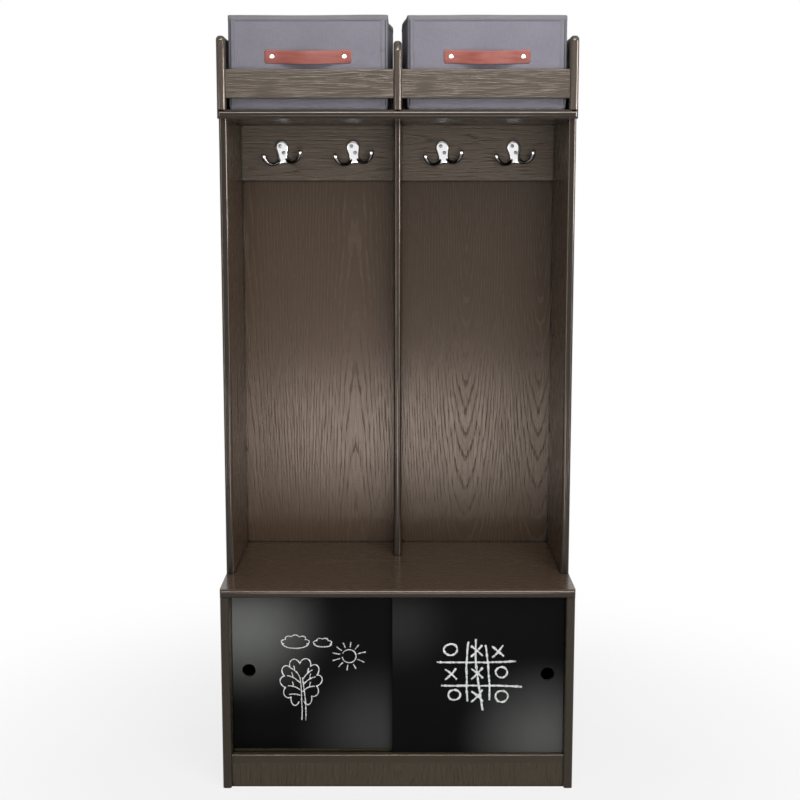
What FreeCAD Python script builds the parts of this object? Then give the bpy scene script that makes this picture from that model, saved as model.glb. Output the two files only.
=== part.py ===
import FreeCAD, Part
import math
import os

# Cubby storage unit: a bench cabinet with two sliding doors, a coat bay each side of a centre
# divider, and a shelf with a railed gallery that holds two fabric bins.
# Millimetres. X to the right, Y to the back, Z up, origin on the floor under the middle.

# Whole unit
unit_width = 650.0
base_depth = 377.0
bench_height = 381.0
shelf_height = 1246.0
carcass_board = 16.0
upper_board = 15.0
side_edge_round = 5.0
board_edge_round = 6.5
small_edge_round = 2.5
edge_bevel = 3.0
cut_overrun = 5.0

# Back sheets, caught in grooves
back_sheet = 5.0
rear_lip = 12.0
sheet_groove_depth = 6.0

# Bench, cabinet floor and toe kick
bench_overhang = 4.0
floor_height = 62.0
kick_setback = 8.0
housing_depth = 6.0

# Sliding doors and the grooves that they run in
door_thickness = 8.0
door_play = 1.0
groove_land = 10.0
front_land = 12.0
lower_groove_depth = 4.0
upper_groove_depth = 9.0
door_top_entry = 4.0
door_overlap = 20.0
door_end_gap = 0.5
door_edge_round = 1.0
finger_hole_radius = 12.7
finger_hole_inset = 30.5

# Upper sides, centre divider and hook boards
upper_setback = 108.0
divider_setback = 245.0
divider_nose = 7.0
divider_housing = 4.0
housing_stop = 14.0
hook_board_height = 110.0
hook_board_thickness = 16.0
tenon_length = 6.0
tenon_thickness = 8.0
tenon_shoulder = 10.0
tenon_end_gap = 0.5

# Top shelf and gallery
shelf_setback = 95.0
shelf_overhang = 1.5
gallery_side_height = 131.0
gallery_divider_height = 123.0
gallery_corner = 8.0
gallery_divider_corner = 20.0
rail_height = 52.0
rail_thickness = 15.0
rail_lift = 20.0
rail_setback = 4.0

# Loose tenons that pin the stacked sides together through the bench and the shelf
slip_thickness = 6.0
slip_width = 40.0
slip_bite = 30.0
slip_inset = 30.0

# Coat hooks, measured from the middle of the round head
hook_spacing = 141.0
hook_drop = 43.5
hook_tilt_degrees = 6.0
hook_plate = 6.0
hook_head_radius = 12.5
hook_shoulder_degrees = 20.0
hook_waist_half = 8.5
hook_waist_drop = 23.0
hook_foot_half = 11.0
hook_foot_drop = 34.0
hook_foot_arch = 3.0
hook_bevel = 1.4
prong_radius = 3.6
prong_sides = 10
prong_knob_radius = 4.3
prong_knob_length = 4.0
prong_nose_radius = 2.4
prong_nose_length = 2.6
prong_bend_radius = 22.4
prong_low_x = 19.0
prong_low_drop = 32.8
prong_root_depth = 2.6
prong_root_degrees = 50.0
prong_tip_degrees = 77.0
prong_forward_degrees = 38.5
hook_screw_x = 2.8
hook_screw_rise = 1.8
hook_screw_drop = 11.9

# Hook screws
screw_radius = 1.9
screw_head_radius = 3.7
screw_head_height = 2.0
screw_head_sink = 1.4
screw_bite = 12.0
screw_clearance = 0.1
shank_sides = 8

# Fabric bins
bin_outer_gap = 4.5
bin_inner_gap = 10.5
bin_front_gap = 4.0
bin_back_gap = 16.0
bin_height = 167.0
bin_wall = 4.0
bin_corner = 9.0
bin_hem_height = 10.0
bin_hem_proud = 1.0
base_board_thickness = 3.0
base_board_gap = 1.5

# Leather straps and their rivets
strap_length = 157.0
strap_width = 24.0
strap_thickness = 2.5
strap_height = 95.3
strap_bow = 14.0
strap_flat = 20.0
strap_root_bend_share = 0.35
rivet_spacing = 131.0
rivet_radius = 1.5
rivet_clearance = 0.1
rivet_cap_radius = 4.0
rivet_cap_height = 1.6
rivet_cap_bevel = 1.0
rivet_plate_thickness = 1.0

# Planes and places that the pieces share
half_width = unit_width / 2
back_y = (base_depth + bench_overhang) / 2
base_front_y = back_y - base_depth
bench_front_y = base_front_y - bench_overhang
upper_front_y = base_front_y + upper_setback
divider_front_y = base_front_y + divider_setback
shelf_front_y = base_front_y + shelf_setback
floor_front_y = base_front_y + kick_setback
sheet_back_y = back_y - rear_lip
sheet_front_y = sheet_back_y - back_sheet
hook_board_front_y = sheet_front_y - hook_board_thickness
rail_front_y = shelf_front_y + rail_setback
rail_back_y = rail_front_y + rail_thickness
back_rail_back_y = back_y - rail_setback
back_rail_front_y = back_rail_back_y - rail_thickness
base_inner_x = half_width - carcass_board
upper_inner_x = half_width - upper_board
gallery_outer_x = half_width + shelf_overhang
gallery_inner_x = gallery_outer_x - carcass_board
divider_x = upper_board / 2
floor_under_z = floor_height - carcass_board
bench_under_z = bench_height - carcass_board
shelf_under_z = shelf_height - carcass_board
rail_low_z = shelf_height + rail_lift
rail_high_z = rail_low_z + rail_height
front_groove_y = floor_front_y + front_land
groove_width = door_thickness + 2 * door_play
rear_groove_y = front_groove_y + groove_width + groove_land
slip_x = half_width - upper_board / 2
slip_ys = (upper_front_y + slip_inset, sheet_front_y - slip_inset - slip_width)
bin_width = gallery_inner_x - divider_x - bin_outer_gap - bin_inner_gap
bin_centre_x = divider_x + bin_inner_gap + bin_width / 2
bin_front_y = rail_back_y + bin_front_gap
bin_back_y = back_rail_front_y - bin_back_gap
strap_z = shelf_height + strap_height
same_place = 1e-4


def box(x_low, x_high, y_low, y_high, z_low, z_high):
    corner = FreeCAD.Vector(x_low, y_low, z_low)
    return Part.makeBox(x_high - x_low, y_high - y_low, z_high - z_low, corner)


def mirrored(shape):
    return shape.mirror(FreeCAD.Vector(0, 0, 0), FreeCAD.Vector(1, 0, 0))


def polygon(centre, across, up, radius, sides):
    """The points of a regular polygon in the plane of two unit directions, closed."""
    points = []
    for step in range(sides + 1):
        angle = 2 * math.pi * step / sides
        points.append(centre + across * (radius * math.cos(angle)) + up * (radius * math.sin(angle)))
    return Part.makePolygon(points)


def shank(start, radius, length):
    """A screw's or rivet's shank along Y, with flats because it is out of sight."""
    outline = polygon(start, FreeCAD.Vector(1, 0, 0), FreeCAD.Vector(0, 0, 1), radius, shank_sides)
    return Part.Face(outline).extrude(FreeCAD.Vector(0, length, 0))


def lies_on(point, x=None, y=None, z=None):
    wanted = ((point.x, x), (point.y, y), (point.z, z))
    return all(at is None or abs(value - at) < same_place for value, at in wanted)


def round_edges(shape, radius, *lines):
    """Round each edge whose ends all lie on the planes of one of the lines."""
    chosen = []
    for edge in shape.Edges:
        points = [vertex.Point for vertex in edge.Vertexes]
        if any(all(lies_on(point, **line) for point in points) for line in lines):
            chosen.append(edge)
    return shape.makeFillet(radius, chosen)


def tenoned(board, x_low, x_high, y_low, y_high, z_low, z_high):
    """Add a stub tenon to both ends of a board that runs along X."""
    reach = tenon_length - tenon_end_gap
    y_middle = (y_low + y_high) / 2
    tenon = box(
        x_low - reach, x_high + reach,
        y_middle - tenon_thickness / 2, y_middle + tenon_thickness / 2,
        z_low + tenon_shoulder, z_high - tenon_shoulder,
    )
    return board.fuse(tenon).removeSplitter()


def mortise(face_x, inward, y_low, y_high, z_low, z_high):
    """The pocket for such a tenon, sunk from a face at face_x along inward (1 or -1)."""
    y_middle = (y_low + y_high) / 2
    x_open = face_x - inward * cut_overrun
    x_end = face_x + inward * tenon_length
    return box(
        min(x_open, x_end), max(x_open, x_end),
        y_middle - tenon_thickness / 2, y_middle + tenon_thickness / 2,
        z_low + tenon_shoulder, z_high - tenon_shoulder,
    )


def bevel_outline(shape, xs, plain):
    """Bevel the edges on the planes at xs, apart from those that lie on a plain plane."""
    chosen = []
    for edge in shape.Edges:
        points = [vertex.Point for vertex in edge.Vertexes]
        on_face = any(all(lies_on(point, x=x) for point in points) for x in xs)
        hidden = any(all(lies_on(point, **plane) for point in points) for plane in plain)
        if on_face and not hidden:
            chosen.append(edge)
    return shape.makeChamfer(edge_bevel, chosen)


def slip_blocks(side, z_low, z_high):
    """The room of one side's loose tenons between two heights."""
    x = side * slip_x
    half = slip_thickness / 2
    return [box(x - half, x + half, y, y + slip_width, z_low, z_high) for y in slip_ys]


def left_base_side():
    side = box(-half_width, -base_inner_x, base_front_y, back_y, 0, bench_under_z)
    side = round_edges(
        side, side_edge_round,
        dict(x=-half_width, y=base_front_y), dict(x=-base_inner_x, y=base_front_y),
    )
    pocket_x = -base_inner_x - housing_depth
    open_x = -base_inner_x + cut_overrun
    kick_back_y = floor_front_y + carcass_board
    floor_housing = box(pocket_x, open_x, floor_front_y, sheet_front_y, floor_under_z, floor_height)
    kick_housing = box(pocket_x, open_x, floor_front_y, kick_back_y, -cut_overrun, floor_under_z)
    sheet_groove = box(
        -base_inner_x - sheet_groove_depth, open_x, sheet_front_y, sheet_back_y,
        floor_under_z, bench_under_z + cut_overrun,
    )
    slots = slip_blocks(-1, bench_under_z - slip_bite, bench_under_z + cut_overrun)
    return side.cut([floor_housing, kick_housing, sheet_groove] + slots)


def cabinet_floor():
    end_x = base_inner_x + housing_depth
    board = box(-end_x, end_x, floor_front_y, sheet_front_y, floor_under_z, floor_height)
    board = round_edges(board, small_edge_round, dict(y=floor_front_y, z=floor_height))
    grooves = [
        box(
            -base_inner_x, base_inner_x, y, y + groove_width,
            floor_height - lower_groove_depth, floor_height + cut_overrun,
        )
        for y in (front_groove_y, rear_groove_y)
    ]
    return board.cut(grooves)


def toe_kick():
    end_x = base_inner_x + housing_depth
    return box(-end_x, end_x, floor_front_y, floor_front_y + carcass_board, 0, floor_under_z)


def bench_top():
    board = box(-half_width, half_width, bench_front_y, back_y, bench_under_z, bench_height)
    board = round_edges(
        board, board_edge_round,
        dict(y=bench_front_y, z=bench_height), dict(y=bench_front_y, z=bench_under_z),
        dict(x=-half_width, y=bench_front_y), dict(x=half_width, y=bench_front_y),
    )
    cuts = [
        box(
            -base_inner_x, base_inner_x, y, y + groove_width,
            bench_under_z - cut_overrun, bench_under_z + upper_groove_depth,
        )
        for y in (front_groove_y, rear_groove_y)
    ]
    lower_end_x = base_inner_x + sheet_groove_depth
    upper_end_x = upper_inner_x + sheet_groove_depth
    cuts.append(box(
        -lower_end_x, lower_end_x, sheet_front_y, sheet_back_y,
        bench_under_z - cut_overrun, bench_under_z + divider_housing,
    ))
    cuts.append(box(
        -upper_end_x, upper_end_x, sheet_front_y, sheet_back_y,
        bench_height - divider_housing, bench_height + cut_overrun,
    ))
    cuts.append(box(
        -divider_x, divider_x, divider_front_y + housing_stop, sheet_front_y,
        bench_height - divider_housing, bench_height + cut_overrun,
    ))
    for side in (-1, 1):
        cuts += slip_blocks(side, bench_under_z - cut_overrun, bench_height + cut_overrun)
    return board.cut(cuts)


def lower_back_panel():
    end_x = base_inner_x + sheet_groove_depth
    return box(
        -end_x, end_x, sheet_front_y, sheet_back_y, floor_under_z, bench_under_z + divider_housing
    )


def upper_back_panel():
    end_x = upper_inner_x + sheet_groove_depth
    return box(
        -end_x, end_x, sheet_front_y, sheet_back_y,
        bench_height - divider_housing, shelf_under_z + divider_housing,
    )


def left_upper_side():
    side = box(-half_width, -upper_inner_x, upper_front_y, back_y, bench_height, shelf_under_z)
    side = round_edges(
        side, side_edge_round,
        dict(x=-half_width, y=upper_front_y), dict(x=-upper_inner_x, y=upper_front_y),
    )
    sheet_groove = box(
        -upper_inner_x - sheet_groove_depth, -upper_inner_x + cut_overrun,
        sheet_front_y, sheet_back_y, bench_height - cut_overrun, shelf_under_z + cut_overrun,
    )
    board_mortise = mortise(
        -upper_inner_x, -1, hook_board_front_y, sheet_front_y,
        shelf_under_z - hook_board_height, shelf_under_z,
    )
    low_slots = slip_blocks(-1, bench_height - cut_overrun, bench_height + slip_bite)
    high_slots = slip_blocks(-1, shelf_under_z - slip_bite, shelf_under_z + cut_overrun)
    return side.cut([sheet_groove, board_mortise] + low_slots + high_slots)


def centre_divider():
    low_z = bench_height - divider_housing
    high_z = shelf_under_z + divider_housing
    board = box(-divider_x, divider_x, divider_front_y, sheet_front_y, low_z, high_z)
    board = round_edges(
        board, divider_nose,
        dict(x=-divider_x, y=divider_front_y), dict(x=divider_x, y=divider_front_y),
    )
    stop_y = divider_front_y + housing_stop
    open_y = divider_front_y - cut_overrun
    wide_x = divider_x + cut_overrun
    cuts = [
        box(-wide_x, wide_x, open_y, stop_y, low_z - cut_overrun, bench_height),
        box(-wide_x, wide_x, open_y, stop_y, shelf_under_z, high_z + cut_overrun),
    ]
    for side in (-1, 1):
        cuts.append(mortise(
            side * divider_x, -side, hook_board_front_y, sheet_front_y,
            shelf_under_z - hook_board_height, shelf_under_z,
        ))
    return board.cut(cuts)


def hook_places(side):
    """Places of a bay's two hooks, at the board's face in the middle of each round head."""
    bay_x = side * (upper_inner_x + divider_x) / 2
    z = shelf_under_z - hook_drop
    xs = (bay_x - hook_spacing / 2, bay_x + hook_spacing / 2)
    return [FreeCAD.Vector(x, hook_board_front_y, z) for x in xs]


def placed_on_board(shape, place):
    copy = shape.copy()
    copy.rotate(FreeCAD.Vector(0, 0, 0), FreeCAD.Vector(0, -1, 0), hook_tilt_degrees)
    copy.translate(place)
    return copy


def hook_screw_points():
    return [
        FreeCAD.Vector(-hook_screw_x, -hook_plate, hook_screw_rise),
        FreeCAD.Vector(hook_screw_x, -hook_plate, -hook_screw_drop),
    ]


def screw_form(point, clearance):
    """A round-headed screw, or the room that it needs where a clearance is given."""
    inward = FreeCAD.Vector(0, 1, 0)
    head_front = point + inward * (screw_head_sink - screw_head_height)
    head = Part.makeCylinder(screw_head_radius + clearance, screw_head_height, head_front, inward)
    stem = shank(point, screw_radius + clearance, hook_plate + screw_bite + clearance)
    return head.fuse(stem).removeSplitter()


def hook_board(side):
    inner = side * divider_x
    outer = side * upper_inner_x
    ends = (min(inner, outer), max(inner, outer))
    low_z = shelf_under_z - hook_board_height
    board = box(*ends, hook_board_front_y, sheet_front_y, low_z, shelf_under_z)
    board = round_edges(board, small_edge_round, dict(y=hook_board_front_y, z=low_z))
    board = tenoned(board, *ends, hook_board_front_y, sheet_front_y, low_z, shelf_under_z)
    pilots = [
        placed_on_board(screw_form(point, screw_clearance), place)
        for place in hook_places(side)
        for point in hook_screw_points()
    ]
    return board.cut(pilots)


def hook_plate_solid():
    shoulder = math.radians(hook_shoulder_degrees)
    shoulder_x = hook_head_radius * math.cos(shoulder)
    shoulder_z = -hook_head_radius * math.sin(shoulder)

    def at(x, z):
        return FreeCAD.Vector(x, 0, z)

    left, right = at(-shoulder_x, shoulder_z), at(shoulder_x, shoulder_z)
    left_foot, right_foot = at(-hook_foot_half, -hook_foot_drop), at(hook_foot_half, -hook_foot_drop)
    arcs = [
        Part.Arc(left, at(0, hook_head_radius), right),
        Part.Arc(right, at(hook_waist_half, -hook_waist_drop), right_foot),
        Part.Arc(right_foot, at(0, hook_foot_arch - hook_foot_drop), left_foot),
        Part.Arc(left_foot, at(-hook_waist_half, -hook_waist_drop), left),
    ]
    outline = Part.Wire([arc.toShape() for arc in arcs])
    plate = Part.Face(outline).extrude(FreeCAD.Vector(0, -hook_plate, 0))
    front = [
        edge for edge in plate.Edges
        if all(lies_on(vertex.Point, y=-hook_plate) for vertex in edge.Vertexes)
    ]
    return plate.makeChamfer(hook_bevel, front)


def prong(side):
    """A prong bent on one arc, out and forward from the plate's foot, with a blunt knob."""
    forward = math.radians(prong_forward_degrees)
    along = FreeCAD.Vector(side * math.cos(forward), -math.sin(forward), 0)
    up = FreeCAD.Vector(0, 0, 1)
    root = math.radians(prong_root_degrees)
    tip = math.radians(prong_tip_degrees)
    root_reach = prong_bend_radius * math.sin(root)
    low = FreeCAD.Vector(
        side * prong_low_x, -prong_root_depth - root_reach * math.sin(forward), -prong_low_drop
    )
    centre = low + up * prong_bend_radius
    start = centre - along * root_reach - up * (prong_bend_radius * math.cos(root))
    heading = along * math.cos(root) - up * math.sin(root)
    sideways = along.cross(up)
    section = Part.Face(polygon(start, sideways, heading.cross(sideways), prong_radius, prong_sides))
    arm = section.revolve(centre, sideways, prong_root_degrees + prong_tip_degrees)
    end = centre + along * (prong_bend_radius * math.sin(tip)) - up * (prong_bend_radius * math.cos(tip))
    leaving = along * math.cos(tip) + up * math.sin(tip)
    rings = (
        (0, prong_radius),
        (prong_knob_length, prong_knob_radius),
        (prong_knob_length + prong_nose_length, prong_nose_radius),
    )
    sections = [
        polygon(end + leaving * step, sideways, leaving.cross(sideways), radius, prong_sides)
        for step, radius in rings
    ]
    knob = Part.makeLoft(sections, True, True)
    return arm.fuse(knob)


def coat_hook():
    hook = hook_plate_solid().fuse([prong(-1), prong(1)])
    reach = hook_foot_drop + prong_bend_radius
    behind = box(-reach, reach, 0, reach, -reach, reach)
    screw_room = [screw_form(point, screw_clearance) for point in hook_screw_points()]
    return hook.cut([behind] + screw_room).removeSplitter()


def coat_hooks():
    hook = coat_hook()
    places = hook_places(-1) + hook_places(1)
    return Part.Compound([placed_on_board(hook, place) for place in places])


def hook_screws():
    screws = [
        placed_on_board(screw_form(point, 0), place)
        for side in (-1, 1)
        for place in hook_places(side)
        for point in hook_screw_points()
    ]
    return Part.Compound(screws)


def top_shelf():
    board = box(-gallery_outer_x, gallery_outer_x, shelf_front_y, back_y, shelf_under_z, shelf_height)
    board = round_edges(
        board, board_edge_round,
        dict(y=shelf_front_y, z=shelf_height), dict(y=shelf_front_y, z=shelf_under_z),
        dict(x=-gallery_outer_x, y=shelf_front_y), dict(x=gallery_outer_x, y=shelf_front_y),
    )
    sheet_end_x = upper_inner_x + sheet_groove_depth
    cuts = [
        box(
            -sheet_end_x, sheet_end_x, sheet_front_y, sheet_back_y,
            shelf_under_z - cut_overrun, shelf_under_z + divider_housing,
        ),
        box(
            -divider_x, divider_x, divider_front_y + housing_stop, sheet_front_y,
            shelf_under_z - cut_overrun, shelf_under_z + divider_housing,
        ),
        box(
            -divider_x, divider_x, shelf_front_y + housing_stop, back_rail_front_y,
            shelf_height - divider_housing, shelf_height + cut_overrun,
        ),
    ]
    for side in (-1, 1):
        cuts += slip_blocks(side, shelf_under_z - cut_overrun, shelf_height + cut_overrun)
    return board.cut(cuts)


def left_gallery_side():
    top_z = shelf_height + gallery_side_height
    side = box(-gallery_outer_x, -gallery_inner_x, shelf_front_y, back_y, shelf_height, top_z)
    side = round_edges(
        side, gallery_corner, dict(y=shelf_front_y, z=top_z), dict(y=back_y, z=top_z)
    )
    side = bevel_outline(side, (-gallery_outer_x, -gallery_inner_x), [dict(z=shelf_height)])
    front_mortise = mortise(
        -gallery_inner_x, -1, rail_front_y, rail_back_y, rail_low_z, rail_high_z
    )
    back_mortise = mortise(
        -gallery_inner_x, -1, back_rail_front_y, back_rail_back_y, shelf_height, rail_high_z
    )
    slots = slip_blocks(-1, shelf_height - cut_overrun, shelf_height + slip_bite)
    return side.cut([front_mortise, back_mortise] + slots)


def gallery_divider():
    low_z = shelf_height - divider_housing
    top_z = shelf_height + gallery_divider_height
    board = box(-divider_x, divider_x, shelf_front_y, back_rail_front_y, low_z, top_z)
    board = round_edges(board, gallery_divider_corner, dict(y=shelf_front_y, z=top_z))
    board = bevel_outline(
        board, (-divider_x, divider_x), [dict(z=low_z), dict(y=back_rail_front_y)]
    )
    wide_x = divider_x + cut_overrun
    stop = box(
        -wide_x, wide_x, shelf_front_y - cut_overrun, shelf_front_y + housing_stop,
        low_z - cut_overrun, shelf_height,
    )
    mortises = [
        mortise(side * divider_x, -side, rail_front_y, rail_back_y, rail_low_z, rail_high_z)
        for side in (-1, 1)
    ]
    return board.cut([stop] + mortises)


def gallery_rail(x_low, x_high, y_low, y_high, low_z):
    """A rail between two uprights; its lower front edge is rounded unless it stands on the shelf."""
    board = box(x_low, x_high, y_low, y_high, low_z, rail_high_z)
    rounded = [dict(y=y_low, z=rail_high_z), dict(y=y_high, z=rail_high_z)]
    if low_z > shelf_height:
        rounded.append(dict(y=y_low, z=low_z))
    board = round_edges(board, small_edge_round, *rounded)
    return tenoned(board, x_low, x_high, y_low, y_high, low_z, rail_high_z)


def loose_tenons():
    tenons = []
    for side in (-1, 1):
        for low_z, high_z in ((bench_under_z, bench_height), (shelf_under_z, shelf_height)):
            tenons += slip_blocks(side, low_z - slip_bite, high_z + slip_bite - tenon_end_gap)
    return Part.Compound(tenons)


def sliding_door(side):
    """The left door (-1) runs in the rear groove and the right one (1) in the front groove."""
    front_y = (rear_groove_y if side < 0 else front_groove_y) + door_play
    back_face_y = front_y + door_thickness
    outer_x = side * (base_inner_x - door_end_gap)
    inner_x = -side * door_overlap / 2
    low_z = floor_height - lower_groove_depth
    high_z = bench_under_z + door_top_entry
    low_x, high_x = min(outer_x, inner_x), max(outer_x, inner_x)
    door = box(low_x, high_x, front_y, back_face_y, low_z, high_z)
    door = round_edges(
        door, door_edge_round,
        dict(x=low_x, y=front_y), dict(x=high_x, y=front_y),
    )
    hole_x = outer_x - side * finger_hole_inset
    hole_z = (floor_height + bench_under_z) / 2
    hole = Part.makeCylinder(
        finger_hole_radius, door_thickness + 2 * cut_overrun,
        FreeCAD.Vector(hole_x, front_y - cut_overrun, hole_z), FreeCAD.Vector(0, 1, 0),
    )
    return door.cut(hole)


def rounded_block(x, half_x, y_low, y_high, z_low, z_high, radius):
    """A block with its four upright edges rounded."""
    block = box(x - half_x, x + half_x, y_low, y_high, z_low, z_high)
    corners = [dict(x=end, y=y) for end in (x - half_x, x + half_x) for y in (y_low, y_high)]
    return round_edges(block, radius, *corners)


def rivet_bores(x):
    """Holes for the rivets, through the strap and the bin's front wall."""
    return [
        shank(
            FreeCAD.Vector(x + step, bin_front_y - strap_thickness - cut_overrun, strap_z),
            rivet_radius + rivet_clearance, bin_wall + strap_thickness + 2 * cut_overrun,
        )
        for step in (-rivet_spacing / 2, rivet_spacing / 2)
    ]


def fabric_bin(x):
    """An open box of stiffened cloth with a folded hem round its mouth."""
    half_x = bin_width / 2
    top_z = shelf_height + bin_height
    body = rounded_block(x, half_x, bin_front_y, bin_back_y, shelf_height, top_z, bin_corner)
    hem = rounded_block(
        x, half_x + bin_hem_proud, bin_front_y - bin_hem_proud, bin_back_y + bin_hem_proud,
        top_z - bin_hem_height, top_z, bin_corner + bin_hem_proud,
    )
    inside = rounded_block(
        x, half_x - bin_wall, bin_front_y + bin_wall, bin_back_y - bin_wall,
        shelf_height + bin_wall, top_z + cut_overrun, bin_corner - bin_wall,
    )
    return body.fuse(hem).cut([inside] + rivet_bores(x)).removeSplitter()


def bin_base_board(x):
    """The loose stiff board that lies on the bin's cloth bottom."""
    inset = bin_wall + base_board_gap
    low_z = shelf_height + bin_wall
    half_x = bin_width / 2 - inset
    return box(
        x - half_x, x + half_x, bin_front_y + inset, bin_back_y - inset,
        low_z, low_z + base_board_thickness,
    )


def bin_strap(x):
    """A leather strap, flat where it is riveted and bowed off the bin between, in three arcs."""
    half_span = strap_length / 2 - strap_flat
    turn = 2 * math.atan(strap_bow / half_span)
    bends = half_span / math.sin(turn)
    root_bend = bends * strap_root_bend_share
    middle_bend = bends - root_bend
    half_length = strap_length / 2

    def at(along, out):
        return FreeCAD.Vector(x + along, bin_front_y - out, strap_z - strap_width / 2)

    def root_arc(side, radius):
        return [
            at(side * (radius * math.sin(angle) - half_span), root_bend - radius * math.cos(angle))
            for angle in (0, turn / 2, turn)
        ]

    def middle_arc(radius):
        centre_out = strap_bow - middle_bend
        return [
            at(radius * math.sin(angle), centre_out + radius * math.cos(angle))
            for angle in (-turn, 0, turn)
        ]

    def face_line(out, root_radius, middle_radius):
        first = root_arc(1, root_radius)
        last = root_arc(-1, root_radius)[::-1]
        return [
            Part.LineSegment(at(-half_length, out), first[0]),
            Part.Arc(*first),
            Part.Arc(*middle_arc(middle_radius)),
            Part.Arc(*last),
            Part.LineSegment(last[2], at(half_length, out)),
        ]

    inner = face_line(0, root_bend, middle_bend)
    outer = face_line(strap_thickness, root_bend - strap_thickness, middle_bend + strap_thickness)
    ends = [
        Part.LineSegment(at(end, 0), at(end, strap_thickness)) for end in (-half_length, half_length)
    ]
    edges = Part.sortEdges([curve.toShape() for curve in inner + outer + ends])[0]
    strap = Part.Face(Part.Wire(edges)).extrude(FreeCAD.Vector(0, 0, strap_width))
    return strap.cut(rivet_bores(x))


def bin_rivets(x):
    """Two rivets: a bevelled cap on the strap, a shank, and a back plate inside the bin."""
    back = FreeCAD.Vector(0, 1, 0)
    rivets = []
    for step in (-rivet_spacing / 2, rivet_spacing / 2):
        cap_back = FreeCAD.Vector(x + step, bin_front_y - strap_thickness, strap_z)
        plate_front = cap_back + back * (strap_thickness + bin_wall)
        cap = Part.makeCone(
            rivet_cap_radius, rivet_cap_radius - rivet_cap_bevel, rivet_cap_height, cap_back, -back
        )
        stem = shank(cap_back, rivet_radius, strap_thickness + bin_wall)
        plate = shank(plate_front, rivet_cap_radius, rivet_plate_thickness)
        rivets.append(cap.fuse([stem, plate]).removeSplitter())
    return Part.Compound(rivets)


base_side = left_base_side()
upper_side = left_upper_side()
gallery_side = left_gallery_side()
nodes = {
    "left_base_side": base_side,
    "right_base_side": mirrored(base_side),
    "toe_kick": toe_kick(),
    "cabinet_floor": cabinet_floor(),
    "bench_top": bench_top(),
    "lower_back_panel": lower_back_panel(),
    "upper_back_panel": upper_back_panel(),
    "left_upper_side": upper_side,
    "right_upper_side": mirrored(upper_side),
    "centre_divider": centre_divider(),
    "left_hook_board": hook_board(-1),
    "right_hook_board": hook_board(1),
    "coat_hooks": coat_hooks(),
    "hook_screws": hook_screws(),
    "top_shelf": top_shelf(),
    "left_gallery_side": gallery_side,
    "right_gallery_side": mirrored(gallery_side),
    "gallery_divider": gallery_divider(),
    "left_gallery_rail": gallery_rail(-gallery_inner_x, -divider_x, rail_front_y, rail_back_y, rail_low_z),
    "right_gallery_rail": gallery_rail(divider_x, gallery_inner_x, rail_front_y, rail_back_y, rail_low_z),
    "gallery_back_rail": gallery_rail(
        -gallery_inner_x, gallery_inner_x, back_rail_front_y, back_rail_back_y, shelf_height
    ),
    "loose_tenons": loose_tenons(),
    "left_door": sliding_door(-1),
    "right_door": sliding_door(1),
}
for name, x in (("left", -bin_centre_x), ("right", bin_centre_x)):
    nodes[name + "_bin"] = fabric_bin(x)
    nodes[name + "_bin_base_board"] = bin_base_board(x)
    nodes[name + "_bin_strap"] = bin_strap(x)
    nodes[name + "_bin_rivets"] = bin_rivets(x)

os.makedirs("parts", exist_ok=True)
for name, shape in nodes.items():
    shape.exportStep("parts/" + name + ".step")
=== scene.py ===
import math

import bmesh
import bpy
from mathutils import Matrix, Vector, noise


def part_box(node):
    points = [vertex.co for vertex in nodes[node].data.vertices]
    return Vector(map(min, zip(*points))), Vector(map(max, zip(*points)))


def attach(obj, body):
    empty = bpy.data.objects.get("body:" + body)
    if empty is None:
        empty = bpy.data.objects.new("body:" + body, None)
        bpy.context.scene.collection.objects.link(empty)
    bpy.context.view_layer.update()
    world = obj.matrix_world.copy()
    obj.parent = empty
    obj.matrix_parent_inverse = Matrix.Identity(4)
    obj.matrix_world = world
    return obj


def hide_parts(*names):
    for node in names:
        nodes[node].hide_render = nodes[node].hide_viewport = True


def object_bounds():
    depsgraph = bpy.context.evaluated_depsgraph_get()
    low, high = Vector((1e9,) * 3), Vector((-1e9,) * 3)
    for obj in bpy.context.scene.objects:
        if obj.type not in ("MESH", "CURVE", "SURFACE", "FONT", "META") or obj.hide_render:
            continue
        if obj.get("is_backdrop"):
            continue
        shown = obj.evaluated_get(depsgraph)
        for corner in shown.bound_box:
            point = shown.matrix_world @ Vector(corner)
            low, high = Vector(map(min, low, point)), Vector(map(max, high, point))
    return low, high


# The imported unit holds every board, hook and bin at its real place, in metres.
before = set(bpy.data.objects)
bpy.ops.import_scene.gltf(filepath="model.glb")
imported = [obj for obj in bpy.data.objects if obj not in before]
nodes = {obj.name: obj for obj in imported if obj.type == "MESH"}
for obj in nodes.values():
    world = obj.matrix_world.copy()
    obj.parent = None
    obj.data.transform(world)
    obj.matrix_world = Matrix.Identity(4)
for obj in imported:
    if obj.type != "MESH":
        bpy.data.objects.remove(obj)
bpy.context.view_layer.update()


# Carcass boards. Oak veneered boards, brushed so that the pores stay open, stained a dark espresso brown and
# finished in satin lacquer. Sides and backs carry upright grain, rails, shelves and hook boards carry it
# lengthways. They are housed and tenoned into each other and glued.
def wire(node, inputs):
    """Give a node its inputs, as values or as sockets to link."""
    for name, value in inputs.items():
        if isinstance(value, bpy.types.NodeSocket):
            node.id_data.links.new(value, node.inputs[name])
        else:
            node.inputs[name].default_value = value


def tree_of(values):
    """The node tree of the first socket among some values."""
    return next(value for value in values if isinstance(value, bpy.types.NodeSocket)).id_data


def put(kind, inputs, tree=None, **settings):
    """A new node with its settings and inputs, in the tree of the sockets that it is linked to."""
    made = (tree or tree_of(inputs.values())).nodes.new(kind)
    for name, value in settings.items():
        setattr(made, name, value)
    wire(made, inputs)
    return made


def got(kind, inputs, tree=None, **settings):
    """What a new node puts out first."""
    return put(kind, inputs, tree, **settings).outputs[0]


def sums(operation, *values):
    return got("ShaderNodeMath", dict(enumerate(values)), operation=operation)


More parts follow.
